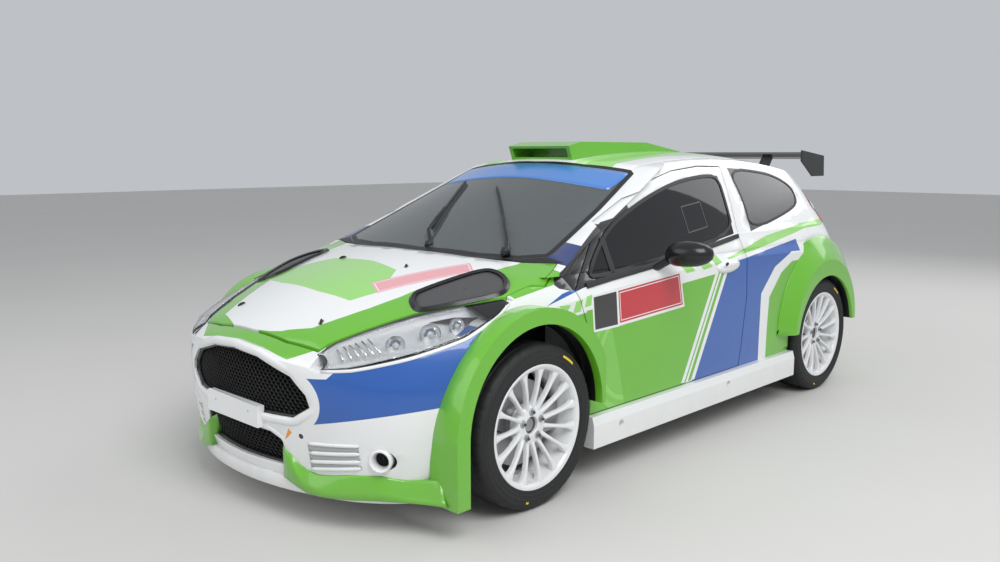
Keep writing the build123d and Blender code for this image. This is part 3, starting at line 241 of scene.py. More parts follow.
def body_paint(name, base=WHITE):
    """Glossy lacquered bodywork, before any field is laid on."""
    return Paint(name, base, roughness=0.34, coat=0.85)


def finish_paint(paint):
    """A slight drift of colour over the paint, and some road dust low down."""
    paint.vary(3.0, 0.02)
    paint.dust(DUST_TOP, 0.35)
    paint.rough(0.28, 0.42)
    return paint.done()


def painted_arch_shade(paint, low_y=None):
    """Where painted shade goes: the wheel openings' own surfaces seen through the arches, filled black; low_y
    keeps the lip in body colour.
    """
    x, z = paint.x, paint.z
    openings = paint.any(
        paint.circle(x, z, *FRONT_ARCH), paint.circle(x, z, *REAR_ARCH),
        paint.polygon(x, z, [(0.8225, 0.0), (1.5775, 0.0), (1.5775, 0.36), (0.8225, 0.36)]),
        paint.polygon(x, z, [(-1.666, 0.0), (-0.957, 0.0), (-0.957, 0.32), (-1.666, 0.32)]),
    )
    if low_y is None:
        return openings
    return paint.both(openings, paint.calc("SUBTRACT", low_y, paint.y))


def flare_livery():
    """Wheel arch flares: green outside, black painted shade within but for their lip."""
    paint = body_paint("flare_livery", GREEN)
    # painted shade: black inside the flares, but for their lip
    paint.fill(painted_arch_shade(paint, 0.868), BLACK)
    return finish_paint(paint)


# Painted fields of the side, as a colour and convex outlines in X and Z, in the order they are laid on
SIDE_FIELDS_UNDER = [
    # green of the door and the wing behind the front wheel
    (GREEN, [(0.12, 0.20), (0.83, 0.20), (0.83, 0.727), (-0.18, 0.785)],
     [(0.82, 0.20), (1.2, 0.20), (1.2, 0.69), (0.96, 0.71), (0.82, 0.728)]),
    # blue over the door's rear half and the quarter, cut off by the rear arch's white edge
    (BLUE, [(0.02, 0.28), (-0.243, 0.762), (-0.36, 0.830), (-1.06, 0.895), (-1.10, 0.40), (-0.64, 0.28)]),
    (WHITE, [(-0.622, 0.20), (-0.626, 0.449), (-0.632, 0.636), (-0.772, 0.765), (-0.966, 0.836),
             (-1.133, 0.852), (-1.35, 0.82), (-1.9, 0.80), (-1.9, 0.20)]),
    (GREEN, [(-0.70, 0.20), (-0.708, 0.436), (-0.722, 0.607), (-0.848, 0.728), (-1.01, 0.800),
             (-1.179, 0.814), (-1.38, 0.78), (-1.9, 0.78), (-1.9, 0.20)]),
    # two slanting stripes between the green and the blue
    (WHITE, [(-0.003, 0.29), (0.112, 0.29), (-0.172, 0.795), (-0.287, 0.795)]),
    (GREEN, [(0.072, 0.29), (0.084, 0.29), (-0.200, 0.795), (-0.212, 0.795)]),
    (GREEN, [(0.028, 0.29), (0.054, 0.29), (-0.230, 0.795), (-0.256, 0.795)]),
    # light green band below the quarter window, up to the tail lamp
    (LIGHT_GREEN, [(-0.224, 0.888), (-0.739, 0.932), (-0.98, 0.975), (-1.33, 0.955), (-1.10, 0.929),
                   (-0.80, 0.891), (-0.292, 0.845)],
     [(-0.95, 0.966), (-1.16, 0.972), (-1.24, 1.03), (-1.335, 1.10), (-1.56, 0.95), (-1.45, 0.948),
      (-1.10, 0.929)]),
    # short leaning blocks along the belt and on the wing
    (LIGHT_GREEN, [(0.091, 0.812), (0.017, 0.816), (0.064, 0.856), (0.137, 0.852)],
     [(-0.059, 0.813), (-0.137, 0.823), (-0.087, 0.874), (0.004, 0.862)],
     [(-0.165, 0.826), (-0.225, 0.836), (-0.185, 0.882), (-0.125, 0.878)],
     [(1.004, 0.768), (0.931, 0.764), (0.964, 0.727), (0.972, 0.727)],
     [(0.917, 0.727), (0.870, 0.729), (0.855, 0.777), (0.900, 0.772)],
     [(0.843, 0.742), (0.801, 0.747), (0.795, 0.791), (0.832, 0.786)]),
]
SIDE_FIELDS_OVER = [
    # blue sweep over the wing towards the headlamp
    (BLUE, [(1.36, 0.40), (1.65, 0.40), (1.65, 0.90), (1.54, 0.683), (1.36, 0.758)],
     [(1.37, 0.60), (1.37, 0.754), (1.329, 0.771), (1.24, 0.782), (1.16, 0.774)],
     [(1.075, 0.774), (0.967, 0.811), (0.902, 0.821), (0.826, 0.822)]),
    # green beside the bonnet's rear corner and a dark blue patch at the pillar's foot
    (GREEN, [(0.96, 0.852), (1.23, 0.818), (1.20, 0.97), (0.97, 0.97)]),
    (DARK_BLUE, [(0.916, 0.912), (0.935, 0.936), (0.792, 1.006), (0.765, 0.980)]),
    # black field ahead of the door's window, down to its front corner
    (BLACK, [(0.35, 1.110), (0.60, 0.852), (0.797, 0.825), (0.869, 0.816), (0.911, 0.817), (0.973, 0.831),
             (0.991, 0.846), (0.966, 0.893), (0.579, 1.070), (0.35, 1.135)]),
]
MOTIF_CENTRE = (0.55, 0.50)
MOTIF_RINGS = [(0.245, LIGHT_GREEN), (0.222, GREEN), (0.198, LIGHT_GREEN), (0.176, GREEN)]
MOTIF_PART = [(0.56, 0.28), (0.80, 0.28), (0.80, 0.62), (0.66, 0.64), (0.60, 0.44)]
DOOR_PLATE = [(0.617, 0.642), (0.772, 0.640), (0.787, 0.778), (0.632, 0.786)]
DOOR_PANEL = [(0.116, 0.668), (0.603, 0.646), (0.619, 0.787), (0.152, 0.817)]
DOOR_OPENING = [(-0.37, 0.33), (0.80, 0.33), (0.80, 0.80), (-0.37, 0.86)]


def side_livery(name, door_opening=False):
    """Doors, front wings and body sides: green, blue and white fields by X and Z."""
    paint = body_paint(name)
    x, z = paint.x, paint.z
    for colour, *outlines in SIDE_FIELDS_UNDER:
        paint.patch(x, z, colour, *outlines)
    # rings of a bare motif on the door
    inside = paint.polygon(x, z, MOTIF_PART)
    for radius, colour in MOTIF_RINGS:
        paint.fill(paint.both(paint.circle(x, z, MOTIF_CENTRE, radius), inside), colour, 0.55)
    # a blank black plate and a blank red panel, edged in white
    for outline, colour, edge in ((DOOR_PLATE, BLACK, 0.010), (DOOR_PANEL, RED, 0.012)):
        field = paint.polygon(x, z, outline)
        paint.fill(paint.grown(field, edge), WHITE)
        paint.fill(field, colour)
    paint.inner_line(field)
    for colour, *outlines in SIDE_FIELDS_OVER:
        paint.patch(x, z, colour, *outlines)
    # plain white faces towards the cabin, and behind the shut door
    if door_opening:
        paint.patch(x, z, WHITE, DOOR_OPENING)
    outward_face = paint.calc("MULTIPLY", paint.face_y, paint.raw_y)
    paint.fill(paint.calc("SUBTRACT", -0.1, outward_face), WHITE)
    # painted shade: black over the wheel openings' surfaces seen through the arches
    paint.fill(painted_arch_shade(paint), BLACK)
    return finish_paint(paint)


# Edges of the bonnet's white middle towards the left and the right wing, in X and Y
BONNET_EDGE_LEFT = [
    (1.878, 0.05), (1.870, 0.113), (1.855, 0.173), (1.795, 0.284), (1.690, 0.345), (1.604, 0.389),
    (1.491, 0.430), (1.38, 0.450),
]
BONNET_EDGE_RIGHT = [
    (1.835, -0.27), (1.822, -0.31), (1.683, -0.365), (1.604, -0.40), (1.491, -0.435), (1.38, -0.452),
]
BONNET_SIDE = [(1.50, 0.47), (1.50, 0.9), (0.80, 0.9), (0.98, 0.597)]
BONNET_FIELD = [
    (1.61, 0.27), (1.50, 0.33), (1.33, 0.215), (1.285, 0.0), (1.284, -0.28), (1.378, -0.42),
    (1.515, -0.497), (1.575, -0.265), (1.612, 0.06),
]
BONNET_PANEL = [(1.473, 0.228), (1.518, 0.324), (1.173, 0.512), (1.107, 0.421)]


def bonnet_livery():
    """Bonnet: white middle, green edges, a bare light green field and a bare pink panel."""
    paint = body_paint("bonnet_livery")
    x, y, raw = paint.x, paint.y, paint.raw_y
    left, right = BONNET_EDGE_LEFT, BONNET_EDGE_RIGHT
    edges = [paint.half_plane(x, raw, low, high) for high, low in zip(left, left[1:])]
    edges += [paint.half_plane(x, raw, high, low) for high, low in zip(right, right[1:])]
    ahead = paint.half_plane(x, raw, (1.40, 1.0), (1.40, -1.0))
    paint.fill(paint.both(paint.any(*edges), ahead), GREEN)
    paint.patch(x, y, GREEN, BONNET_SIDE)
    paint.patch(x, raw, LIGHT_GREEN, BONNET_FIELD)
    panel = paint.polygon(x, raw, BONNET_PANEL)
    paint.fill(panel, PINK)
    paint.inner_line(panel)
    # the underside
    paint.fill(paint.calc("SUBTRACT", -0.2, paint.face_z), BLACK)
    return finish_paint(paint)


# Painted fields of the front bumper, in Y and Z
NOSE_STRIP = [
    [(-0.1, 0.648), (0.16, 0.646), (0.16, 0.8), (-0.1, 0.8)],
    [(0.15, 0.647), (0.31, 0.622), (0.36, 0.645), (0.405, 0.664), (0.405, 0.8), (0.15, 0.8)],
]
CORNER_FIELD = [
    [(0.375, 0.388), (0.95, 0.508), (0.95, 0.604), (0.375, 0.566)],
    [(0.49, 0.572), (0.49, 0.50), (0.95, 0.55), (0.95, 0.95), (0.82, 0.92)],
]
TOW_ARROW = [(0.286, 0.318), (0.312, 0.368), (0.326, 0.352), (0.304, 0.332)]


def bumper_livery():
    """Front bumper: green nose strip, white surround and blue fields at the corners."""
    paint = body_paint("bumper_livery")
    x, y, raw, z = paint.x, paint.y, paint.raw_y, paint.z
    strip, field = (
        paint.any(*[paint.polygon(y, z, outline) for outline in outlines])
        for outlines in (NOSE_STRIP, CORNER_FIELD)
    )
    paint.fill(paint.both(strip, paint.calc("SUBTRACT", x, 1.5)), GREEN)
    # the blue field's inner end is hollowed by the grille's white surround
    paint.fill(paint.without(field, paint.circle(y, z, (0.362, 0.478), 0.104)), BLUE)
    # a small bare orange arrow, and beside it a black disc of painted shade for the tow hole
    paint.patch(raw, z, ORANGE, TOW_ARROW)
    paint.fill(paint.circle(raw, z, (0.367, 0.345), 0.010), BLACK)
    # painted shade: black over the wheel openings' surfaces seen through the arches
    paint.fill(painted_arch_shade(paint), BLACK)
    return finish_paint(paint)


def plain_paint(name, colour):
    """Bodywork of one colour."""
    return finish_paint(body_paint(name, colour))


def roof_livery():
    """Roof: white with light green stripes."""
    paint = body_paint("roof_livery")
    x, y = paint.x, paint.y
    paint.patch(x, y, LIGHT_GREEN, [(-1.5, 0.24), (0.25, 0.30), (0.25, 0.44), (-1.5, 0.40)])
    paint.patch(x, y, PALE_GREEN, [(-0.45, 0.20), (0.25, 0.24), (0.25, 0.30), (-0.45, 0.30)])
    return finish_paint(paint)


def tail_livery():
    """Tailgate: white with a green band across."""
    paint = body_paint("tail_livery")
    paint.patch(paint.y, paint.z, GREEN, [(-0.1, 0.66), (0.6, 0.66), (0.6, 0.78), (-0.1, 0.82)])
    return finish_paint(paint)


def plastic(name, colour=BLACK, roughness=0.45):
    """Moulded plastic with a fine grain."""
    paint = Paint(name, colour, roughness)
    paint.vary(6.0, 0.12)
    paint.rough(roughness - 0.06, roughness + 0.08, 60.0)
    paint.bump(paint.noise(900.0, 2.0), 0.0004, 0.25)
    return paint.done()


def glass(name, tint, transmission, roughness=0.03):
    """Tinted glass."""
    paint = Paint(name, tint, roughness, transmission=transmission)
    paint.shader.inputs["IOR"].default_value = 1.45
    paint.vary(2.0, 0.04)
    return paint.done()


def metal(name, colour, roughness):
    """Bare metal with patches that shine more and less."""
    paint = Paint(name, colour, roughness, metallic=1.0)
    paint.vary(20.0, 0.1)
    paint.rough(roughness - 0.06, roughness + 0.1, 120.0)
    return paint.done()


def rubber():
    """Matt black tyre rubber."""
    paint = Paint("tyre_rubber", (0.014, 0.014, 0.015), 0.62)
    paint.vary(9.0, 0.2)
    paint.rough(0.55, 0.75, 40.0)
    paint.bump(paint.noise(260.0, 3.0), 0.0006, 0.35)
    return paint.done()


def cloth():
    """Dark woven cloth."""
    paint = Paint("seat_cloth", (0.02, 0.02, 0.024), 0.85, sheen=0.3)
    paint.vary(30.0, 0.2)
    paint.bump(paint.noise(900.0, 2.0), 0.0006, 0.5)
    return paint.done()


def vent_mesh():
    """Black panel covered by a fine square mesh."""
    paint = Paint("vent_mesh", (0.008, 0.008, 0.008), 0.6)
    wires = []
    for along in (paint.x, paint.raw_y):
        wave = paint.calc("SINE", paint.calc("MULTIPLY", along, 2 * math.pi / 0.011))
        wires.append(paint.calc("SUBTRACT", paint.calc("ABSOLUTE", wave), 0.82))
    paint.fill(paint.calc("MULTIPLY", paint.any(*wires), 0.01), (0.11, 0.11, 0.115))
    return paint.done()


SIDE = side_livery("side_livery")
BODY = side_livery("body_livery", door_opening=True)
BONNET = bonnet_livery()
BUMPER = bumper_livery()
ROOF = roof_livery()
TAIL = tail_livery()
FLARES = flare_livery()
GREEN_PAINT = plain_paint("green_paint", GREEN)
WHITE_PAINT = plain_paint("white_paint", WHITE)
TRIM = plastic("black_trim")
GLOSS_BLACK = plastic("gloss_black", BLACK, 0.22)
SCREEN = glass("screen_glass", (0.20, 0.225, 0.235), 0.60)
DARK_GLASS = glass("dark_glass", (0.012, 0.013, 0.015), 0.25)
QUARTER = plastic("quarter_panel", (0.035, 0.037, 0.042), 0.16)
SUNSTRIP = plain_paint("sunstrip_blue", SUN_BLUE)
LAMP_CLEAR = glass("lamp_clear", (0.98, 0.99, 1.0), 1.0, 0.0)
LAMP_RED = plastic("lamp_red", (0.30, 0.006, 0.008), 0.18)
LAMP_STOP = plastic("lamp_stop", (0.62, 0.015, 0.015), 0.15)
STEEL = metal("steel", (0.40, 0.40, 0.41), 0.38)
DARK_STEEL = plain_paint("dark_steel", (0.03, 0.03, 0.033))
ALLOY = metal("cast_alloy", (0.48, 0.49, 0.50), 0.5)
CAGE = plain_paint("cage_paint", (0.62, 0.63, 0.64))
WHEEL_PAINT = plain_paint("wheel_paint", (0.80, 0.81, 0.82))
RUBBER = rubber()
CLOTH = cloth()
HARNESS = plastic("harness_red", (0.42, 0.02, 0.02), 0.7)
MARK_YELLOW = plastic("mark_yellow", (0.80, 0.62, 0.02), 0.5)
GREY_TRIM = plastic("grey_trim", GREY, 0.40)
CHROME = metal("chrome", (0.86, 0.87, 0.88), 0.07)
# near-black sheets that close the grilles, duct and outlets: painted shade for their dark insides
SHADE_BACKING = plastic("painted_shade_backing", (0.004, 0.004, 0.004), 0.9)
PLATE_WHITE = plain_paint("plate_white", (0.80, 0.80, 0.80))
LAMP_BEZEL = plastic("lamp_bezel", (0.78, 0.79, 0.80), 0.25)
LAMP_BULB = plain_paint("lamp_bulb", (0.75, 0.80, 0.86))
VENT_MESH = vent_mesh()
# grey sheets between the bumper recess's ribs: painted shade
RECESS_PAINTED_SHADE = plain_paint("recess_painted_shade", (0.42, 0.43, 0.44))

CAD_MATERIALS = {
    BONNET: "bonnet", SCREEN: "windscreen", ROOF: "roof_panel", BUMPER: "front_bumper", TAIL: "tailgate",
    SIDE: "door_left door_right fender_left fender_right", BODY: "body_side_left body_side_right",
    TRIM: "bonnet_vents cowl_panel wipers upper_grille lower_grille dashboard steering_wheel",
    DARK_GLASS: "door_glass_left door_glass_right tailgate_glass", QUARTER: "quarter_windows",
    GLOSS_BLACK: "mirror_left mirror_right rear_wing", LAMP_CLEAR: "headlamps", LAMP_RED: "tail_lamps",
    WHITE_PAINT: "front_splitter side_skirts", GREEN_PAINT: "rear_bumper roof_scoop",
    FLARES: "front_flares rear_flares", CLOTH: "seats", CAGE: "roll_cage", ALLOY: "engine_block",
    DARK_STEEL: "floor_pan rear_wheelhouses front_structure front_subframe rear_axle",
    STEEL: "knuckle_left knuckle_right exhaust",
    WHEEL_PAINT: "rim_front_left rim_front_right rim_rear_left rim_rear_right",
    RUBBER: "tyre_front_left tyre_front_right tyre_rear_left tyre_rear_right",
}


# Mesh helpers

PATH_STEP = 0.03  # longest edge of the bands that follow an outline
BAND_BEVEL = 0.0015
ROUND_SEGMENTS = 2
CORNER_CUTS = 2
DOME_RINGS = 7
DOORS = ("door_left_body", "door_right_body")
GAP_REACHES = (0.0, 0.003, 0.006, 0.010, 0.016, 0.025, 0.040, 0.060)
GAP_SIDES = ((1, 0), (0, 1), (-1, 0), (0, -1), (0.7, 0.7), (-0.7, 0.7), (-0.7, -0.7), (0.7, -0.7))


def add_object(name, data):
    """A mesh, lamp or camera as an object of the scene."""
    thing = bpy.data.objects.new(name, data)
    bpy.context.scene.collection.objects.link(thing)
    return thing


def make_object(name, vertices, faces, material, smooth=True):
    """A mesh object in the scene with one material."""
    mesh = bpy.data.meshes.new(name)
    mesh.from_pydata([tuple(vertex) for vertex in vertices], [], faces)
    mesh.validate()
    mesh.materials.append(material)
    mesh.polygons.foreach_set("use_smooth", [smooth] * len(mesh.polygons))
    return add_object(name, mesh)


def outward(piece):
    """Point all faces of a closed mesh outwards."""
    shape = bmesh.new()
    shape.from_mesh(piece.data)
    bmesh.ops.remove_doubles(shape, verts=shape.verts, dist=1e-6)
    bmesh.ops.recalc_face_normals(shape, faces=shape.faces)
    shape.to_mesh(piece.data)
    shape.free()
    return piece


def rounded(piece, width, angle=0.6):
    """Rounded edges and smooth shading between them."""
    bevel = piece.modifiers.new("rounded", "BEVEL")
    bevel.width = width
    bevel.segments = ROUND_SEGMENTS
    bevel.limit_method = "ANGLE"
    bevel.angle_limit = angle
    bevel.harden_normals = True
    return piece


def join(name, pieces):
    """Several objects as one, their meshes joined in place."""
    shape = bmesh.new()
    materials = []
    for piece in pieces:
        start = len(shape.faces)
        shape.from_mesh(piece.data)
        shape.faces.ensure_lookup_table()
        slots = []
        for material in piece.data.materials:
            if material not in materials:
                materials.append(material)
            slots.append(materials.index(material))
        for face in shape.faces[start:]:
            face.material_index = slots[face.material_index] if slots else 0
        bpy.data.objects.remove(piece)
    mesh = bpy.data.meshes.new(name)
    shape.to_mesh(mesh)
    shape.free()
    for material in materials:
        mesh.materials.append(material)
    return add_object(name, mesh)


def grid_faces(rows, across, loop_rows=False, loop_across=False):
    """Four-sided faces between neighbouring points of rows of equal length."""
    faces = []
    for index in range(rows if loop_rows else rows - 1):
        start = index * across
        after = (index + 1) % rows * across
        for step in range(across if loop_across else across - 1):
            other = (step + 1) % across
            faces.append((start + step, start + other, after + other, after + step))
    return faces


def tube_rings(rings, closed_ends=True, loop=False):
    """Vertices and faces of a skin through rings of equal length."""
    count = len(rings[0])
    vertices = [point for ring in rings for point in ring]
    faces = grid_faces(len(rings), count, loop, True)
    if closed_ends and not loop:
        faces.append(tuple(range(count))[::-1])
        faces.append(tuple(range(len(vertices) - count, len(vertices))))
    return vertices, faces


def solid_through(name, rings, material, loop=False, smooth=True):
    """A closed skin through rings of points."""
    vertices, faces = tube_rings(rings, loop=loop)
    return outward(make_object(name, vertices, faces, material, smooth))


def ring_points(radius, count, turn=0.0):
    """Points evenly spaced round a circle."""
    angles = [turn + 2 * math.pi * index / count for index in range(count)]
    return [(radius * math.cos(angle), radius * math.sin(angle)) for angle in angles]


def round_rings(profile, count, centre, turn):
    """Circles from radii and heights along an axis, turned and moved to a centre."""
    return [
        [centre + turn @ Vector((radius * u, radius * v, along)) for u, v in ring_points(1.0, count)]
        for radius, along in profile
    ]


def turn_to(axis):
    """The rotation that takes the upright axis to another one."""
    return Vector((0, 0, 1)).rotation_difference(axis).to_matrix()


def revolved(name, profile, segments, material):
    """A closed profile of radius and Y turned about the Y axis."""
    rings = [[(radius * u, y, radius * v) for radius, y in profile] for u, v in ring_points(1.0, segments)]
    return solid_through(name, rings, material, loop=True)


def turned_prism(name, outline, y_from, y_to, material):
    """An outline in X and Z pushed along Y."""
    rings = [[(x, y, z) for x, z in outline] for y in (y_from, y_to)]
    return solid_through(name, rings, material, smooth=False)


def mirrored_copy(piece, name):
    """The same piece on the car's right side."""
    copy = piece.copy()
    copy.data = piece.data.copy()
    copy.name = name
    bpy.context.scene.collection.objects.link(copy)
    copy.data.transform(Matrix.Scale(-1, 4, (0, 1, 0)))
    copy.data.flip_normals()
    return copy


# Pieces that lie on the bodywork are found by looking at it along one axis

class Skin:
    """The outer surface of some CAD nodes."""

    def __init__(self, *names):
        vertices, faces = [], []
        for name in names:
            mesh = NODES[name].data
            start = len(vertices)
            vertices += [vertex.co.copy() for vertex in mesh.vertices]
            faces += [[start + index for index in face.vertices] for face in mesh.polygons]
        self.tree = BVHTree.FromPolygons(vertices, faces)

    def look(self, start, direction):
        """First place of the skin on a line; over a gap, the place at the depth of the skin beside it."""
        start, direction = Vector(start), Vector(direction)
        across = direction.orthogonal().normalized()
        beside = direction.cross(across)
        for reach in GAP_REACHES:
            for u, v in GAP_SIDES:
                aside = (across * u + beside * v) * reach
                hit = self.tree.ray_cast(start + aside, direction)[0]
                if hit:
                    return hit - aside
        return start + 3 * direction

    def side(self, x, z):
        """Its place seen from the left."""
        return self.look((x, 3, z), (0, -1, 0))

    def top(self, x, y):
        """Its place seen from above."""
        return self.look((x, y, 3), (0, 0, -1))

    def front(self, y, z):
        """Its place seen from ahead."""
        return self.look((3, y, z), (-1, 0, 0))

    def back(self, y, z):
        """Its place seen from behind."""
        return self.look((-3, y, z), (1, 0, 0))


def dense(points, step, closed=True):
    """The outline with points no further apart than step."""
    result = []
    count = len(points) if closed else len(points) - 1
    for index in range(count):
        start = Vector(points[index])
        end = Vector(points[(index + 1) % len(points)])
        parts = max(1, math.ceil((end - start).length / step))
        result += [start.lerp(end, part / parts) for part in range(parts)]
    if not closed:
        result.append(Vector(points[-1]))
    return result


def softened(points):
    """A closed outline with its corners cut, again and again."""
    points = [Vector(point) for point in points]
    for _ in range(CORNER_CUTS):
        points = [
            start.lerp(end, share)
            for start, end in zip(points, points[1:] + points[:1])
            for share in (0.25, 0.75)
        ]
    return points


def round_corners(points, reach):
    """A closed outline whose corners become small arcs that start at most reach from them."""
    points = [Vector(point) for point in points]
    result = []
    for index, corner in enumerate(points):
        before = points[index - 1] - corner
        after = points[(index + 1) % len(points)] - corner
        start = corner + before * min(0.45, reach / before.length)
        end = corner + after * min(0.45, reach / after.length)
        for share in (0.0, 0.33, 0.67, 1.0):
            result.append(start.lerp(corner, share).lerp(corner.lerp(end, share), share))
    return result


def inset(points, distance):
    """A closed outline in a plane moved inwards by distance, outwards where negative."""
    area = signed_area([tuple(point) for point in points])
    turn = 1 if area > 0 else -1
    result = []
    count = len(points)
    for index in range(count):
        before, here, after = (Vector(points[(index + step) % count]) for step in (-1, 0, 1))
        first = (here - before).normalized()
        second = (after - here).normalized()
        across = Vector((-first.y - second.y, first.x + second.x))
        if across.length < 1e-6:
            across = Vector((-first.y, first.x))
        across.normalize()
        share = max(0.5, across.dot(Vector((-first.y, first.x))))
        result.append(here + across * (turn * distance / share))
    return result


def resample(points, count):
    """Points evenly spaced along a line of points."""
    points = [Vector(point) for point in points]
    lengths = [0.0]
    for start, end in zip(points, points[1:]):
        lengths.append(lengths[-1] + (end - start).length)
    result = []
    for index in range(count):
        wanted = lengths[-1] * index / (count - 1)
        for step in range(len(points) - 1):
            if wanted <= lengths[step + 1] + 1e-9:
                share = (wanted - lengths[step]) / (lengths[step + 1] - lengths[step])
                result.append(points[step].lerp(points[step + 1], min(1.0, share)))
                break
    return result


def sheet_over(name, rows, material, lift, thickness, facing, closed=False, bevel=0.0):
    """A thin solid panel over a grid of surface points, raised off them by lift."""
    vertices = [point for row in rows for point in row]
    piece = make_object(name, vertices, grid_faces(len(rows), len(rows[0]), closed), material)
    shape = bmesh.new()
    shape.from_mesh(piece.data)
    bmesh.ops.recalc_face_normals(shape, faces=shape.faces)
    shape.normal_update()
    total = sum((face.normal * face.calc_area() for face in shape.faces), Vector())
    if total.dot(Vector(facing)) < 0:
        bmesh.ops.reverse_faces(shape, faces=shape.faces)
        shape.normal_update()
    shifts = [vertex.normal * lift for vertex in shape.verts]
    for vertex, shift in zip(shape.verts, shifts):
        vertex.co += shift
    shape.to_mesh(piece.data)
    shape.free()
    thick = piece.modifiers.new("thickness", "SOLIDIFY")
    thick.thickness = thickness
    thick.offset = -1
    if bevel:
        rounded(piece, bevel)
    return piece


def frame_band(name, outline, find, outer, inner, material, lift, thickness, facing):
    """A raised band that follows an outline on the body, from outer to inner of it."""
    path = dense(outline, PATH_STEP)
    rows = [
        [find(*first.lerp(second, share)) for share in (0.0, 0.5, 1.0)]
        for first, second in zip(inset(path, -outer), inset(path, inner))
    ]
    bevel = min(BAND_BEVEL, thickness * 0.4)
    return sheet_over(name, rows, material, lift, thickness, facing, closed=True, bevel=bevel)


def filled_panel(name, outline, find, material, lift, thickness, facing, rings):
    """A raised panel that fills an outline on the body, made of rings round its middle."""
    path = [Vector(point) for point in outline]
    middle = sum(path, Vector((0, 0))) / len(path)
    shares = [max(0.004, ring / rings) for ring in range(rings, -1, -1)]
    rows = [[find(*middle.lerp(point, share)) for share in shares] for point in path]
    return sheet_over(name, rows, material, lift, thickness, facing, closed=True)


def tube_along(name, points, radius, material, sides, flat=1.0):
    """A round bar along points; flat squeezes or stretches it in height."""
    rings = []
    last = len(points) - 1
    for index, point in enumerate(points):
        along = (points[min(last, index + 1)] - points[max(0, index - 1)]).normalized()
        helper = Vector((0, 0, 1)) if abs(along.z) < 0.9 else Vector((0, 1, 0))
        sideways = along.cross(helper).normalized()
        upwards = sideways.cross(along).normalized()
        width = radius[index] if isinstance(radius, list) else radius
        rings.append([
            point + sideways * (width * u) + upwards * (width * flat * v) for u, v in ring_points(1.0, sides)
        ])
    return solid_through(name, rings, material)


def dome(name, outline, find, height, away, material, lift=0.0):
    """A smooth low bulge over an outline on the body, raised off it by lift."""
    middle = sum((Vector(point) for point in outline), Vector((0, 0))) / len(outline)
    rings = []
    for step in range(DOME_RINGS):
        angle = 0.5 * math.pi * step / (DOME_RINGS - 1)
        share = max(0.02, math.cos(angle))
        rise = Vector(away) * (lift + height * math.sin(angle) - 0.002)
        rings.append([find(*middle.lerp(Vector(point), share)) + rise for point in outline])
    return solid_through(name, rings, material)


def oval(centre, half_length, half_height, tilt):
    """Points of a tilted oval."""
    cos, sin = math.cos(tilt), math.sin(tilt)
    return [
        (centre[0] + half_length * u * cos - half_height * v * sin,
         centre[1] + half_length * u * sin + half_height * v * cos)
        for u, v in ring_points(1.0, 28)
    ]


def add_one(piece, body="car_body", nodes=()):
    """Put one piece on its body, in place of the nodes it stands for."""
    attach(piece, body)
    if nodes:
        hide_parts(*nodes)


def add_pair(piece, bodies=("car_body",), nodes=()):
    """Put a left-hand piece and its mirror image on their bodies."""
    copy = mirrored_copy(piece, piece.name.replace("_left", "") + "_right")
    add_one(piece, bodies[0], nodes[:1])
    add_one(copy, bodies[-1], nodes[-1:])


# Wheels: made about their own axis, outer face at Y = 0

RIM_LIP = 0.246
RIM_BARREL = 0.221
RIM_DEPTH = 0.190
SPOKES = 15
SPOKE_ROWS = [
    # radius, outer face, depth, half width
    (0.052, -0.040, 0.030, 0.0120),
    (0.070, -0.036, 0.026, 0.0105),
    (0.100, -0.027, 0.022, 0.0075),
    (0.140, -0.019, 0.020, 0.0072),
    (0.175, -0.014, 0.020, 0.0080),
    (0.200, -0.011, 0.022, 0.0105),
    (0.217, -0.009, 0.026, 0.0165),
    (0.226, -0.008, 0.030, 0.0240),
]
RIM_PROFILE = [
    (RIM_LIP, -0.003), (RIM_LIP, -0.012), (RIM_LIP - 0.012, -0.016), (0.228, -0.022), (0.226, -0.045),
    (0.209, -0.064), (0.209, -0.118), (0.228, -0.140), (0.228, -0.176), (RIM_LIP, -0.180),
    (RIM_LIP, -RIM_DEPTH), (0.222, -RIM_DEPTH), (0.218, -0.142), (0.200, -0.120), (0.200, -0.066),
    (0.216, -0.046), (RIM_BARREL, -0.020), (RIM_BARREL + 0.004, -0.008), (0.236, -0.001),
    (RIM_LIP - 0.003, 0.0),
]
HUB_FACE = -0.038
# radius and height above the hub's face
HUB_PROFILE = [
    (0.034, -0.002), (0.037, 0.001), (0.070, 0.001), (0.078, -0.004), (0.082, -0.014), (0.082, -0.040),
    (0.034, -0.040),
]
BORE_PROFILE = [
    (0.0005, -0.030), (0.020, -0.030), (0.022, -0.020), (0.028, -0.018), (0.0345, -0.012), (0.0345, -0.045),
    (0.0005, -0.045),
]
NUT_SEAT = [(0.0125, 0.0015), (0.0155, 0.0015), (0.0155, -0.004), (0.0125, -0.004)]
NUTS = 5
NUT_CIRCLE = 0.054
NUT_TURN = 0.3
VALVE_PROFILE = [(0.0004, 0.004), (0.003, 0.004), (0.0042, -0.002), (0.0042, -0.026), (0.0004, -0.026)]
VALVE_PLACE = (0.213, 0.0, 0.030)
DISC_PROFILE = [
    (0.060, -0.070), (0.072, -0.072), (0.074, -0.104), (0.172, -0.104), (0.172, -0.113), (0.150, -0.113),
    (0.150, -0.121), (0.172, -0.121), (0.172, -0.130), (0.060, -0.130),
]
TYRE_OUTER = 0.325
TYRE_HALF = 0.100
TYRE_MIDDLE = -0.095
TYRE_SEGMENTS = 120
# radius and distance from the tyre's middle
SIDEWALL = [
    (0.232, 0.078), (0.242, 0.0925), (0.250, 0.0945), (0.2515, 0.0960), (0.2535, 0.0945), (0.262, 0.0975),
    (0.2635, 0.0990), (0.2655, 0.0980), (0.280, 0.1000), (0.2815, 0.1012), (0.2835, 0.1000), (0.298, 0.0975),
    (0.2995, 0.0985), (0.3015, 0.0965), (0.309, 0.0930),
]
SHOULDER = [(0.3165, 0.0880), (0.3215, 0.0800), (0.3238, 0.0700)]
GROOVES = (0.052, 0.018)
GROOVE_FLOOR = 0.3195
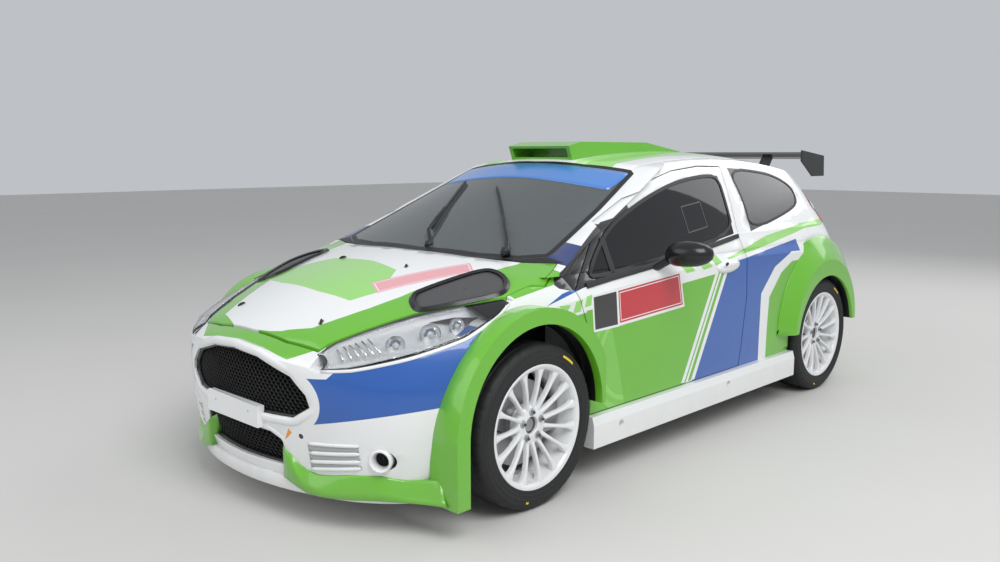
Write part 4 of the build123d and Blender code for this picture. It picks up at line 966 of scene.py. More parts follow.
# short cuts across the shoulder: one in so many steps, depth, reach from the middle, least radius
SIPE_EVERY = 8
SIPE_DEPTH = 0.0035
SIPE_REACH = (0.054, 0.0905)
SIPE_RADIUS = 0.312
SIDEWALL_MARKS = [(2.05, 0.24), (-1.35, 0.05)]  # angle where a dash starts and its length, radians
MARK_STEPS = 8


def spoke_ring(radius, outer, depth, half):
    """Cross-section of a spoke, rounded on its outer face, standing along X."""
    inner = outer - depth
    section = [
        (-half, inner), (half, inner), (half * 1.05, outer - 0.007), (half * 0.80, outer - 0.0015),
        (half * 0.25, outer + 0.0008), (-half * 0.25, outer + 0.0008), (-half * 0.80, outer - 0.0015),
        (-half * 1.05, outer - 0.007),
    ]
    return [Vector((radius, y, z)) for z, y in section]


def above_hub(profile):
    """A profile whose heights are measured from the hub's face."""
    return [(radius, HUB_FACE + rise) for radius, rise in profile]


def wheel_rim(name):
    """Barrel, fifteen spokes, hub with open bore, five nuts, valve and brake disc."""
    pieces = [revolved("barrel", RIM_PROFILE, 96, WHEEL_PAINT)]
    for index in range(SPOKES):
        spoke = solid_through("spoke", [spoke_ring(*row) for row in SPOKE_ROWS], WHEEL_PAINT)
        spoke.data.transform(Matrix.Rotation(2 * math.pi * index / SPOKES, 4, "Y"))
        pieces.append(spoke)
    pieces.append(revolved("hub", above_hub(HUB_PROFILE), 64, WHEEL_PAINT))
    pieces.append(revolved("bore", above_hub(BORE_PROFILE), 48, DARK_STEEL))
    for index in range(NUTS):
        angle = 2 * math.pi * index / NUTS + NUT_TURN
        place = Matrix.Translation((NUT_CIRCLE * math.cos(angle), 0, NUT_CIRCLE * math.sin(angle)))
        for piece in (
            revolved("nut_seat", above_hub(NUT_SEAT), 24, DARK_STEEL),
            turned_prism("nut", ring_points(0.0105, 6, angle), HUB_FACE - 0.004, HUB_FACE + 0.011, STEEL),
            turned_prism("stud", ring_points(0.0055, 12), HUB_FACE, HUB_FACE + 0.017, DARK_STEEL),
        ):
            piece.data.transform(place)
            pieces.append(piece)
    valve = revolved("valve", VALVE_PROFILE, 12, TRIM)
    valve.data.transform(Matrix.Translation(VALVE_PLACE))
    pieces.append(valve)
    pieces.append(revolved("brake_disc", DISC_PROFILE, 72, STEEL))
    return rounded(join(name, pieces), 0.0012, 0.7)


def wheel_tyre(name):
    """Tyre with ribbed sidewalls and a grooved tread."""
    outer = SIDEWALL + SHOULDER
    for centre in GROOVES:
        outer += [
            (TYRE_OUTER, centre + 0.0060), (TYRE_OUTER, centre + 0.0042), (GROOVE_FLOOR, centre + 0.0034),
            (GROOVE_FLOOR, centre - 0.0034), (TYRE_OUTER, centre - 0.0042), (TYRE_OUTER, centre - 0.0060),
        ]
    profile = outer + [(radius, -y) for radius, y in outer[::-1]]
    rings = []
    for index in range(TYRE_SEGMENTS * 2):
        angle = math.pi * index / TYRE_SEGMENTS
        ring = []
        for radius, y in profile:
            in_reach = SIPE_REACH[0] < abs(y) < SIPE_REACH[1] and radius > SIPE_RADIUS
            if index % SIPE_EVERY == 0 and in_reach:
                radius -= SIPE_DEPTH
            bent = angle + 0.05 * (abs(y) - 0.05)
            ring.append((radius * math.cos(bent), TYRE_MIDDLE + y, radius * math.sin(bent)))
        rings.append(ring)
    return solid_through(name, rings, RUBBER, loop=True)


def sidewall_marks(name):
    """Short coloured dashes on the sidewall, with no lettering."""
    pieces = []
    for start, length in SIDEWALL_MARKS:
        vertices = []
        for index in range(MARK_STEPS + 1):
            angle = start + length * index / MARK_STEPS
            for radius, rise in ((0.2860, 0.00035), (0.2950, -0.0008)):
                y = TYRE_MIDDLE + TYRE_HALF + rise
                vertices.append((radius * math.cos(angle), y, radius * math.sin(angle)))
        pieces.append(make_object("mark", vertices, grid_faces(MARK_STEPS + 1, 2), MARK_YELLOW))
    return join(name, pieces)


def place_wheels():
    """The four wheels, each in place of its CAD rim and tyre."""
    for end, axle in (("front", FRONT_AXLE), ("rear", REAR_AXLE)):
        for side in ("left", "right"):
            for kind, build, slot in (
                ("rim", wheel_rim, "wheel_paint"), ("tyre", wheel_tyre, "tyre_rubber"),
                ("sidewall_marks", sidewall_marks, "tyre_rubber"),
            ):
                piece = build(f"{kind}_{end}_{side}_detail")
                piece.data.transform(Matrix.Translation(axle))
                if side == "right":
                    piece.data.transform(Matrix.Scale(-1, 4, (0, 1, 0)))
                    piece.data.flip_normals()
                nodes = () if kind == "sidewall_marks" else (f"{kind}_{end}_{side}",)
                add_one(piece, f"wheel_{end}_{side}_body", nodes)


# Outlines shared with the CAD frame, in metres

DOOR_WINDOW = [
    (0.780, 0.872), (0.560, 1.036), (0.350, 1.116), (0.130, 1.182), (-0.090, 1.232), (-0.330, 1.256),
    (-0.474, 1.250), (-0.452, 1.120), (-0.428, 0.962), (0.100, 0.900), (0.740, 0.845),
]
QUARTER_WINDOW = [
    (-0.600, 0.962), (-0.632, 1.120), (-0.604, 1.290), (-1.000, 1.262), (-1.180, 1.222), (-1.285, 1.165),
    (-1.262, 1.085), (-1.130, 1.045),
]
SLIDING_VENT = [(-0.030, 0.985), (-0.210, 1.005), (-0.216, 1.130), (-0.040, 1.112)]
BELT_LINE = [(0.815, 0.826), (0.640, 0.842), (0.100, 0.884), (-0.455, 0.948)]
WINDOW_POST = [(0.602, 1.005), (0.618, 0.855)]
VENT_OUTLINE = [
    (1.463, 0.465), (1.508, 0.540), (1.500, 0.575), (1.378, 0.655), (1.262, 0.722), (1.205, 0.722),
    (1.148, 0.666), (1.126, 0.592), (1.140, 0.538), (1.282, 0.504), (1.387, 0.479),
]
UPPER_GRILLE_HALF = [
    (0.0, 0.628), (0.156, 0.616), (0.339, 0.566), (0.410, 0.506), (0.424, 0.462), (0.340, 0.412),
    (0.0, 0.402),
]
LOWER_GRILLE_HALF = [(0.0, 0.350), (0.215, 0.340), (0.272, 0.316), (0.296, 0.216), (0.0, 0.212)]
SCREEN_HALF = [
    (1.050, 0.0), (1.022, 0.370), (0.975, 0.560), (0.905, 0.672), (0.862, 0.674), (0.500, 0.626),
    (0.170, 0.566), (0.150, 0.535), (0.205, 0.290), (0.225, 0.0),
]
BONNET_PINS = [(1.757, 0.288), (1.282, 0.221)]
# The nose: its radius in plan, foremost X, the height where that lies, and its bend above and below
NOSE_RADIUS = 1.32
NOSE_FRONT = 1.972
NOSE_HEIGHT = 0.48
NOSE_BEND = 0.55


def nose_x(y, z):
    """The bumper's face: a wide arc in plan, a little rounder towards its top and bottom."""
    middle = NOSE_FRONT - NOSE_BEND * (z - NOSE_HEIGHT) ** 2
    return middle - (NOSE_RADIUS - math.sqrt(NOSE_RADIUS ** 2 - y * y))


def whole(half):
    """A full outline from its left half, which starts and ends on the middle line."""
    return [tuple(point) for point in half] + [(-y, z) for y, z in half[-2:0:-1]]


def on_nose(y, z, depth=0.0):
    """A point of the nose, or depth behind it."""
    return Vector((nose_x(y, z) - depth, y, z))


def side_windows():
    """Rubber seals round the side glass, a belt moulding, a divider and a sliding vent."""
    skin = Skin("door_left", "door_glass_left", "body_side_left", "quarter_windows")
    facing = (0, 1, 0)

    def band(name, outline, outer, inner, material, lift, thickness, bodies=DOORS):
        """A seal round an outline."""
        piece = frame_band(name, outline, skin.side, outer, inner, material, lift, thickness, facing)
        add_pair(piece, bodies=bodies)

    def strip(name, line, step, across, lift, thickness, bevel):
        """A bar along a line."""
        path = dense(line, step, closed=False)
        rows = [[skin.side(*(point + across * share)) for share in (1, 0, -1)] for point in path]
        add_pair(sheet_over(name, rows, TRIM, lift, thickness, facing, bevel=bevel), bodies=DOORS)

    band("door_seal_left", softened(DOOR_WINDOW), 0.004, 0.012, TRIM, 0.004, 0.007)
    strip("belt_moulding_left", BELT_LINE, 0.04, Vector((0, 0.011)), 0.008, 0.010, 0.002)
    strip("window_post_left", WINDOW_POST, 0.03, Vector((0.016, 0)), 0.004, 0.006, 0.001)
    band("window_vent_left", SLIDING_VENT, 0.0, 0.006, GREY_TRIM, 0.0018, 0.002)
    band("quarter_seal_left", softened(QUARTER_WINDOW), 0.004, 0.009, TRIM, 0.003, 0.006, ("car_body",))


def door_furniture():
    """Oval door handles with their flap and lock."""
    skin = Skin("door_left")
    for name, place, length, height, tilt, lift, rise, material, slot in (
        ("handle_left", (-0.288, 0.812), 0.108, 0.034, -0.03, 0.0, 0.022, WHITE_PAINT, "white_paint"),
        ("handle_flap_left", (-0.285, 0.820), 0.070, 0.015, -0.03, 0.017, 0.008, WHITE_PAINT, "white_paint"),
        ("handle_lock_left", (-0.240, 0.826), 0.018, 0.006, -0.5, 0.017, 0.011, TRIM, "black_plastic"),
    ):
        outline = oval(place, length, height, tilt)
        add_pair(dome(name, outline, skin.side, rise, (0, 1, 0), material, lift), DOORS)


# Stations of the mirror's shell: y, middle x, half depth, half height, middle z
MIRROR_STATIONS = [
    (0.846, 0.292, 0.016, 0.016, 0.915), (0.856, 0.288, 0.040, 0.040, 0.918),
    (0.880, 0.282, 0.053, 0.054, 0.922), (0.930, 0.277, 0.058, 0.058, 0.925),
    (0.985, 0.268, 0.054, 0.053, 0.926), (1.020, 0.257, 0.042, 0.041, 0.927),
    (1.040, 0.248, 0.026, 0.025, 0.928), (1.046, 0.245, 0.010, 0.009, 0.928),
]
MIRROR_FOOT = (Vector((0.318, 0.772, 0.838)), Vector((0.287, 0.872, 0.905)))


def side_mirrors():
    """Drop-shaped mirror shells on a short foot, with their glass."""
    shell_rings = [
        [(mid_x + depth * (u if u > 0 else 0.85 * u), y, mid_z + height * v * (1 - 0.12 * u))
         for u, v in ring_points(1.0, 24)]
        for y, mid_x, depth, height, mid_z in MIRROR_STATIONS
    ]
    foot_rings = []
    for share in (0.0, 0.35, 0.7, 1.0):
        centre = MIRROR_FOOT[0].lerp(MIRROR_FOOT[1], share)
        width, height = 0.036 - 0.014 * share, 0.017 + 0.004 * share
        foot_rings.append([centre + Vector((width * u, 0, height * v)) for u, v in ring_points(1.0, 16)])
    glass_rings = [
        [(x - 0.0075 * u * size, 0.935 + 0.072 * u * size, 0.928 + 0.037 * v * size)
         for u, v in ring_points(1.0, 24)]
        for x, size in ((0.2362, 0.90), (0.2312, 0.90), (0.2287, 0.86))
    ]
    mirror = join("mirror_detail_left", [
        solid_through("mirror_shell_left", shell_rings, GLOSS_BLACK),
        solid_through("mirror_foot_left", foot_rings, TRIM),
        solid_through("mirror_glass_left", glass_rings, CHROME),
    ])
    add_pair(mirror, bodies=DOORS, nodes=("mirror_left", "mirror_right"))


MESH_RECESS = 0.020
MESH_DEPTH = 0.014
BACK_RECESS = 0.045
NOSE_STEP = 0.02  # longest edge of the bands in the nose
GRILLES = [
    # outline's left half, cell, then for each width of the lip inwards how far it stands out
    ("upper", UPPER_GRILLE_HALF, 0.0155, (-0.034, -0.028, -0.008, -0.002, -0.006, -0.030),
     (0.002, 0.007, 0.010, 0.002, -0.030, -0.030)),
    ("lower", LOWER_GRILLE_HALF, 0.0175, (-0.020, -0.016, -0.006, -0.002, -0.005, -0.018),
     (0.001, 0.004, 0.006, 0.001, -0.026, -0.026)),
]


def near_outline(point, polygon, reach):
    """Whether a point lies in a closed outline or less than reach outside it."""
    y, z = point
    inside = False
    nearest = math.inf
    for start, end in zip(polygon, polygon[1:] + polygon[:1]):
        along = end - start
        if (start.y > z) != (end.y > z) and y < along.x * (z - start.y) / along.y + start.x:
            inside = not inside
        share = max(0.0, min(1.0, (point - start).dot(along) / along.length_squared))
        nearest = min(nearest, (point - start - along * share).length)
    return inside or nearest < reach


def hex_mesh(outline, cell):
    """A sheet of hexagonal cells behind an outline in the nose."""
    low_y, high_y = min(p.x for p in outline), max(p.x for p in outline)
    low_z, high_z = min(p.y for p in outline), max(p.y for p in outline)
    vertices, faces = [], []
    step_y = cell * 1.5
    step_z = cell * math.sqrt(3) / 2
    columns = math.ceil((high_y - low_y) / step_y) + 2
    rows = math.ceil((high_z - low_z) / step_z) + 2
    for row in range(rows):
        for column in range(columns):
            y = low_y + column * step_y + (0.75 * cell if row % 2 else 0.0)
            z = low_z + row * step_z
            if not near_outline(Vector((y, z)), outline, 0.4 * cell):
                continue
            start = len(vertices)
            for size, back in ((0.58, 0.0), (0.40, 0.003), (0.40, MESH_DEPTH)):
                for u, v in ring_points(cell * size, 6):
                    vertices.append(on_nose(y + u * 0.98, z + v, MESH_RECESS + back))
            for side in range(6):
                other = (side + 1) % 6
                for ring in (start, start + 6):
                    faces.append((ring + side, ring + other, ring + 6 + other, ring + 6 + side))
    return make_object("grille_mesh", vertices, faces, TRIM, smooth=False)


def nose_band(name, outline, widths, lifts, material):
    """A moulded band round an outline in the nose: for each width inwards, how far it stands out."""
    paths = [inset(dense(outline, NOSE_STEP), width) for width in widths]
    rings = [
        [on_nose(point.x, point.y, -lift) for point, lift in zip(points, lifts)]
        for points in zip(*paths)
    ]
    return solid_through(name, rings, material, loop=True)


def nose_sheet(outline):
    """A near-black sheet that closes an opening from behind: painted shade for its dark inside."""
    path = dense(outline, PATH_STEP)
    middle = sum(path, Vector((0, 0))) / len(path)
    vertices = []
    for point in path:
        for share in (1.0, 0.66, 0.33, 0.01):
            vertices.append(on_nose(*middle.lerp(point, share), BACK_RECESS))
    return make_object("grille_back", vertices, grid_faces(len(path), 4, True), SHADE_BACKING)


def grilles():
    """Hexagon mesh in both openings over a sheet of painted shade, with a black inner frame and the white lip
    around.
    """
    for label, half, cell, widths, lifts in GRILLES:
        outline = round_corners(whole(half), 0.020)
        edge_widths, edge_lifts = (-0.003, 0.008, 0.012, 0.004), (0.0, -0.008, -0.034, -0.036)
        detail = join(f"{label}_grille_detail", [
            nose_sheet(outline), hex_mesh(outline, cell),
            nose_band("grille_edge", outline, edge_widths, edge_lifts, GLOSS_BLACK),
        ])
        add_one(detail, nodes=(f"{label}_grille",))
        add_one(nose_band(f"{label}_grille_lip", outline, widths, lifts, WHITE_PAINT))


def blank_plate():
    """The white number plate, left blank: flat with a raised rim, and its two screws."""
    outline = round_corners([(-0.180, 0.372), (0.176, 0.366), (0.178, 0.432), (-0.178, 0.440)], 0.010)
    rings = [
        [(x, y, z) for y, z in inset(outline, grow)]
        for grow, x in ((0.0, 1.9740), (0.0, 1.9790), (0.002, 1.9805), (0.006, 1.9805), (0.008, 1.9790))
    ]
    add_one(solid_through("number_plate", rings, PLATE_WHITE))
    screw_profile = [(0.0004, 0.003), (0.005, 0.002), (0.006, 0.0), (0.0004, 0.0)]
    for y in (-0.120, 0.120):
        screw = revolved("plate_screw", screw_profile, 14, STEEL)
        screw.data.transform(Matrix.Rotation(-math.pi / 2, 4, "Z"))
        screw.data.transform(Matrix.Translation((1.9788, y, 0.404)))
        add_one(screw)


# The headlamp's lower edge in X and Z and its upper edge in X and Y
LAMP_LOW = [
    (1.262, 0.810), (1.330, 0.775), (1.398, 0.750), (1.496, 0.709), (1.587, 0.683), (1.681, 0.655),
    (1.762, 0.633), (1.833, 0.612), (1.890, 0.604),
]
LAMP_HIGH = [
    (1.262, 0.760), (1.342, 0.706), (1.451, 0.630), (1.531, 0.573), (1.672, 0.503), (1.800, 0.440),
    (1.862, 0.411),
]
LAMP_ROWS = 34
LAMP_STEPS = 8
LAMP_TIP_ROWS = 8
LAMP_FACING = (1, 1, 1)
LAMP_AXIS = Vector((0.72, 0.52, 0.38)).normalized()
# place along the lamp, radius and depth of its bowls, and the places of the ribs behind them
LAMP_BOWLS = [(0.36, 0.030, 0.026), (0.52, 0.040, 0.034), (0.70, 0.036, 0.030)]
LAMP_RIBS = (0.80, 0.83, 0.86, 0.89, 0.92, 0.95)
BOWL_RINGS = 8


def lamp_inner(row, k, along):
    """The housing lies deeper in the middle of the lamp than at its edge."""
    depth = 0.004 + 0.062 * math.sin(math.pi * k / LAMP_STEPS) * math.sin(math.pi * along) ** 0.5
    return row[k] + Vector((-0.80, -0.50, -0.25)).normalized() * depth


def bowl(name, centre, axis, radius, depth, material):
    """A round reflector or a bulb: a dish about an axis."""
    angles = [0.5 * math.pi * step / (BOWL_RINGS - 1) for step in range(BOWL_RINGS)]
    profile = [(max(0.001, radius * math.cos(angle)), -depth * math.sin(angle)) for angle in angles]
    vertices, faces = tube_rings(round_rings(profile, 28, centre, turn_to(axis)), closed_ends=False)
    return make_object(name, vertices, faces, material)


def headlamps():
    """Clear covers over a bright housing with chrome bowls, a grey rim and a dark pointed end."""
    lamp = Skin("headlamps", "front_bumper", "bonnet", "fender_left")
    low_line = resample(LAMP_LOW, LAMP_ROWS)
    rows = []
    for low, high in zip(low_line, resample(LAMP_HIGH, LAMP_ROWS)):
        start, end = lamp.side(*low), lamp.top(*high)
        row = []
        for k in range(LAMP_STEPS + 1):
            bulge = 0.030 * math.sin(math.pi * k / LAMP_STEPS)
            guess = start.lerp(end, k / LAMP_STEPS) + Vector((0.4 * bulge, bulge, 0.8 * bulge))
            row.append(lamp.tree.find_nearest(guess)[0])
        rows.append(row)
    last = LAMP_ROWS - 1
    housing = [[lamp_inner(row, k, i / last) for k in range(LAMP_STEPS + 1)] for i, row in enumerate(rows)]
    edge = [row[0] for row in rows] + rows[-1][1:-1] + [row[-1] for row in rows[::-1]] + rows[0][1:-1][::-1]
    centre = sum(edge, Vector()) / len(edge)
    rim = []
    for point in edge:
        inner = point + (centre - point).normalized() * 0.010
        rim.append([point, inner, inner + Vector((-0.012, -0.014, -0.006))])
    for name, sheet, material, lift, thickness, closed, slot, nodes in (
        ("lamp_cover_left", rows, LAMP_CLEAR, 0.0, 0.003, False, "lamp_clear", ("headlamps",)),
        ("lamp_housing_left", housing, LAMP_BEZEL, 0.0, 0.002, False, "black_plastic", ()),
        ("lamp_tip_left", rows[:LAMP_TIP_ROWS], GLOSS_BLACK, 0.0015, 0.003, False, "black_plastic", ()),
        ("lamp_rim_left", rim, GREY_TRIM, 0.0015, 0.003, True, "black_plastic", ()),
    ):
        add_pair(sheet_over(name, sheet, material, lift, thickness, LAMP_FACING, closed), nodes=nodes)
    bowls = []
    for share, radius, depth in LAMP_BOWLS:
        middle = rows[round(share * last)][LAMP_STEPS // 2] - LAMP_AXIS * 0.026
        bulb_place = middle - LAMP_AXIS * 0.008
        bowls.append(bowl("bowl", middle, LAMP_AXIS, radius, depth, CHROME))
        bowls.append(bowl("bulb", bulb_place, LAMP_AXIS, radius * 0.34, -radius * 0.40, LAMP_BULB))
    behind = Vector((-0.020, -0.018, 0.002))
    for share in LAMP_RIBS:
        row = rows[round(share * last)]
        bowls.append(tube_along("rib", [row[k] + behind for k in (2, 4, 6)], 0.0040, CHROME, 8))
    add_pair(join("lamp_bowls_left", bowls))
    # the body's own skin between the cover's lower edge and the bumper
    sill = [[lamp.side(low.x, low.y + rise) for rise in (0.001, -0.005, -0.010)] for low in low_line]
    add_pair(sheet_over("lamp_sill_left", sill, WHITE_PAINT, 0.002, 0.003, (0, 1, 0.3)))


def bonnet_vents():
    """Mesh-covered outlets with a raised black lip, and the bonnet pins."""
    skin = Skin("bonnet", "bonnet_vents")
    up = (0, 0, 1)
    outline = softened(VENT_OUTLINE)
    panel = filled_panel("vent_mesh_left", outline, skin.top, VENT_MESH, 0.001, 0.004, up, 8)
    add_pair(panel, bodies=("bonnet_body",), nodes=("bonnet_vents",))
    path = dense(outline, 0.02)
    rows = [
        [skin.top(*point) + Vector((0, 0, rise)) for point, rise in zip(points, (0.0, 0.012, 0.007))]
        for points in zip(inset(path, -0.016), inset(path, -0.006), inset(path, 0.008))
    ]
    lip = sheet_over("vent_lip_left", rows, GLOSS_BLACK, 0.001, 0.004, up, closed=True, bevel=0.001)
    add_pair(lip, bodies=("bonnet_body",))
    for index, place in enumerate(BONNET_PINS):
        washer = dome(f"pin_plate_{index}_left", oval(place, 0.022, 0.012, 0.5), skin.top, 0.003, up, STEEL)
        add_pair(washer, ("bonnet_body",))
        pin = dome(f"pin_{index}_left", oval(place, 0.017, 0.006, 0.9), skin.top, 0.009, up, TRIM, 0.003)
        add_pair(pin, bodies=("bonnet_body",))


def spread(points, x):
    """Value at x on a line of points with rising x."""
    for (x_low, low), (x_high, high) in zip(points, points[1:]):
        if x <= x_high:
            return low + (high - low) * (x - x_low) / (x_high - x_low)
    return points[-1][1]


# The sunstrip's lower and upper edge, as Y and X; the wipers' foot, elbow and tip in X and Y
SUNSTRIP_LOW = [(0.0, 0.392), (0.2, 0.390), (0.4, 0.376), (0.52, 0.356), (0.60, 0.335)]
SUNSTRIP_HIGH = [(0.0, 0.246), (0.16, 0.243), (0.29, 0.228), (0.39, 0.214), (0.535, 0.180), (0.60, 0.178)]
SUNSTRIP_HALF = 0.552
SUNSTRIP_STEPS = 40
WIPERS = [
    ((1.000, 0.045), Vector((0.938, -0.025)), Vector((0.415, -0.316))),
    ((0.978, 0.500), Vector((0.905, 0.452)), Vector((0.497, -0.018))),
]
WIPER_HUB = [(0.0004, 0.030), (0.014, 0.028), (0.019, 0.016), (0.021, -0.004), (0.0004, -0.004)]
BLADE_STEPS = 16


def windscreen():
    """Black border and blue sunstrip of the screen, and the two wipers standing on it."""
    skin = Skin("windscreen")
    facing = (0.6, 0, 1)
    outline = SCREEN_HALF + [(x, -y) for x, y in SCREEN_HALF[-2:0:-1]]
    border = frame_band("screen_border", outline, skin.top, -0.003, 0.026, TRIM, 0.0012, 0.002, facing)
    add_one(border)
    rows = []
    for index in range(SUNSTRIP_STEPS + 1):
        y = -SUNSTRIP_HALF + 2 * SUNSTRIP_HALF * index / SUNSTRIP_STEPS
        low, high = spread(SUNSTRIP_LOW, abs(y)), spread(SUNSTRIP_HIGH, abs(y))
        rows.append([skin.top(low + (high - low) * k / 6, y) for k in range(7)])
    add_one(sheet_over("sunstrip", rows, SUNSTRIP, 0.0012, 0.0018, facing))
    pieces = []
    for foot, elbow, tip in WIPERS:
        def over(share, lift):
            """A place over the screen on the way from elbow to tip."""
            return skin.top(*elbow.lerp(tip, share)) + Vector((0.35, 0, 0.94)) * lift

        base = Vector((*foot, 0.948))
        arm = [base + Vector((0, 0, 0.012)), base + Vector((-0.02, -0.01, 0.022))]
        arm += [over(share, lift) for share, lift in ((0.02, 0.026), (0.20, 0.028), (0.42, 0.022))]
        pieces.append(tube_along("arm", arm, [0.013, 0.011, 0.008, 0.0065, 0.0055], TRIM, 12, 0.7))
        blade = [over(0.08 + 0.91 * k / BLADE_STEPS, 0.013) for k in range(BLADE_STEPS + 1)]
        widths = [0.003] + [0.0065] * (BLADE_STEPS - 1) + [0.003]
        pieces.append(tube_along("blade", blade, widths, TRIM, 10))
        lip = [over(0.09 + 0.89 * k / BLADE_STEPS, 0.006) for k in range(BLADE_STEPS + 1)]
        pieces.append(tube_along("lip", lip, 0.0030, RUBBER, 8, 1.4))
        hub = revolved("hub", WIPER_HUB, 24, TRIM)
        hub.data.transform(Matrix.Rotation(math.pi / 2, 4, "X"))
        hub.data.transform(Matrix.Translation(base))
        pieces.append(hub)
    add_one(join("wipers_detail", pieces), nodes=("wipers",))


# Lines along the bumper's corner blade: upper edge, fold and lower edge
AERO_TOP = [
    (1.902, 0.250, 0.306), (1.902, 0.290, 0.290), (1.897, 0.332, 0.240), (1.893, 0.364, 0.216),
    (1.872, 0.421, 0.202), (1.827, 0.542, 0.221), (1.764, 0.635, 0.225), (1.690, 0.705, 0.206),
    (1.650, 0.760, 0.208), (1.625, 0.815, 0.219),
]
AERO_FOLD = [
    (1.906, 0.262, 0.290), (1.908, 0.300, 0.262), (1.903, 0.340, 0.205), (1.891, 0.372, 0.172),
    (1.876, 0.424, 0.158), (1.824, 0.536, 0.170), (1.760, 0.629, 0.181), (1.692, 0.705, 0.154),
    (1.655, 0.765, 0.154), (1.630, 0.828, 0.156),
]
AERO_LOW = [
    (1.910, 0.264, 0.170), (1.910, 0.304, 0.162), (1.905, 0.340, 0.150), (1.892, 0.384, 0.133),
    (1.866, 0.462, 0.131), (1.826, 0.545, 0.134), (1.778, 0.622, 0.139), (1.705, 0.712, 0.136),
    (1.665, 0.780, 0.135), (1.635, 0.845, 0.135),
]
AERO_ROWS = 28
# ribs of the recess: both ends in Y and Z and half width; grey sheets of painted shade between them: lower
# and upper Z
RIBS = [
    (Vector((0.392, 0.322)), Vector((0.590, 0.336)), 0.0042),
    (Vector((0.394, 0.286)), Vector((0.588, 0.306)), 0.0050),
    (Vector((0.390, 0.252)), Vector((0.586, 0.276)), 0.0050),
    (Vector((0.388, 0.222)), Vector((0.584, 0.250)), 0.0050),
]
RIB_STEPS = 12
SHADES = [(0.292, 0.316), (0.258, 0.281), (0.229, 0.246)]
SHADE_STEPS = 14
DUCT_CENTRE = Vector((1.772, 0.650, 0.284))
DUCT_AXIS = Vector((0.86, 0.51, 0.0)).normalized()
DUCT_PROFILE = [
    (0.034, -0.040), (0.042, -0.030), (0.043, 0.004), (0.041, 0.009), (0.037, 0.010), (0.033, 0.006),
    (0.028, -0.020), (0.026, -0.040),
]


def bumper_corners():
    """Green corner blades, the ribbed recess with painted shade between its ribs, and its duct with painted
    shade inside.
    """
    rings = []
    for top, fold, low in zip(*(resample(line, AERO_ROWS) for line in (AERO_TOP, AERO_FOLD, AERO_LOW))):
        out = Vector((fold.x - 1.05, fold.y, 0)).normalized()
        rings.append([
            top - out * 0.030, top + out * 0.004, top + out * 0.009 - Vector((0, 0, 0.006)),
            fold + out * 0.020, fold + out * 0.024 - Vector((0, 0, 0.008)), low + out * 0.018,
            low + out * 0.012 - Vector((0, 0, 0.004)), low - out * 0.030,
        ])
    add_pair(solid_through("corner_blade_left", rings, GREEN_PAINT))
    skin = Skin("front_bumper")
    toward = Vector((1.0, 0.75, 0)).normalized()
    ribs = []
    for start, end, width in RIBS:
        places = [start.lerp(end, k / RIB_STEPS) for k in range(RIB_STEPS + 1)]
        path = [skin.front(*place) + toward * 0.002 for place in places]
        widths = [0.002] + [width] * (RIB_STEPS - 1) + [0.002]
        ribs.append(tube_along("rib", path, widths, WHITE_PAINT, 10, 1.5))
    add_pair(join("corner_ribs_left", ribs))
    # grey sheets between the ribs: painted shade in the recess
    shades = []
    for low_z, high_z in SHADES:
        rows = []
        for k in range(SHADE_STEPS + 1):
            y, rise = 0.392 + 0.194 * k / SHADE_STEPS, 0.018 * k / SHADE_STEPS
            rows.append([skin.front(y, z + rise) for z in (low_z, (low_z + high_z) / 2, high_z)])
        shades.append(sheet_over("shade", rows, RECESS_PAINTED_SHADE, 0.0008, 0.0015, (1, 0.7, 0)))
    add_pair(join_evaluated("recess_shades_left", shades))
    turn = turn_to(DUCT_AXIS)
    duct_rings = round_rings(DUCT_PROFILE, 36, DUCT_CENTRE, turn)
    add_pair(solid_through("duct_ring_left", duct_rings, WHITE_PAINT, loop=True))
    # a near-black disc inside the duct: painted shade
    disc = round_rings([(0.030, -0.028), (0.001, -0.028)], 24, DUCT_CENTRE, turn)
    vertices, faces = tube_rings(disc, closed_ends=False)
    add_pair(make_object("duct_mesh_left", vertices, faces, SHADE_BACKING))


def join_evaluated(name, pieces):
    """Pieces with modifiers joined after the modifiers are applied."""
    graph = bpy.context.evaluated_depsgraph_get()
    solid = []
    for piece in pieces:
        mesh = bpy.data.meshes.new_from_object(piece.evaluated_get(graph))
        solid.append(add_object(piece.name, mesh))
        bpy.data.objects.remove(piece)
    return join(name, solid)


DIFFUSER = [(-0.46, 0.186), (0.46, 0.186), (0.40, 0.300), (-0.40, 0.300)]
REAR_PLATE = [(-0.26, 0.500), (0.26, 0.500), (0.26, 0.606), (-0.26, 0.606)]
OUTLET = [(0.44, 0.330), (0.60, 0.350), (0.62, 0.440), (0.47, 0.425)]
FIN_PLACES = (-0.30, -0.18, -0.06, 0.06, 0.18, 0.30)
FIN_PROFILE = [(0.186, 0.0), (0.200, 0.014), (0.250, 0.014), (0.292, 0.003)]  # height and reach rearwards


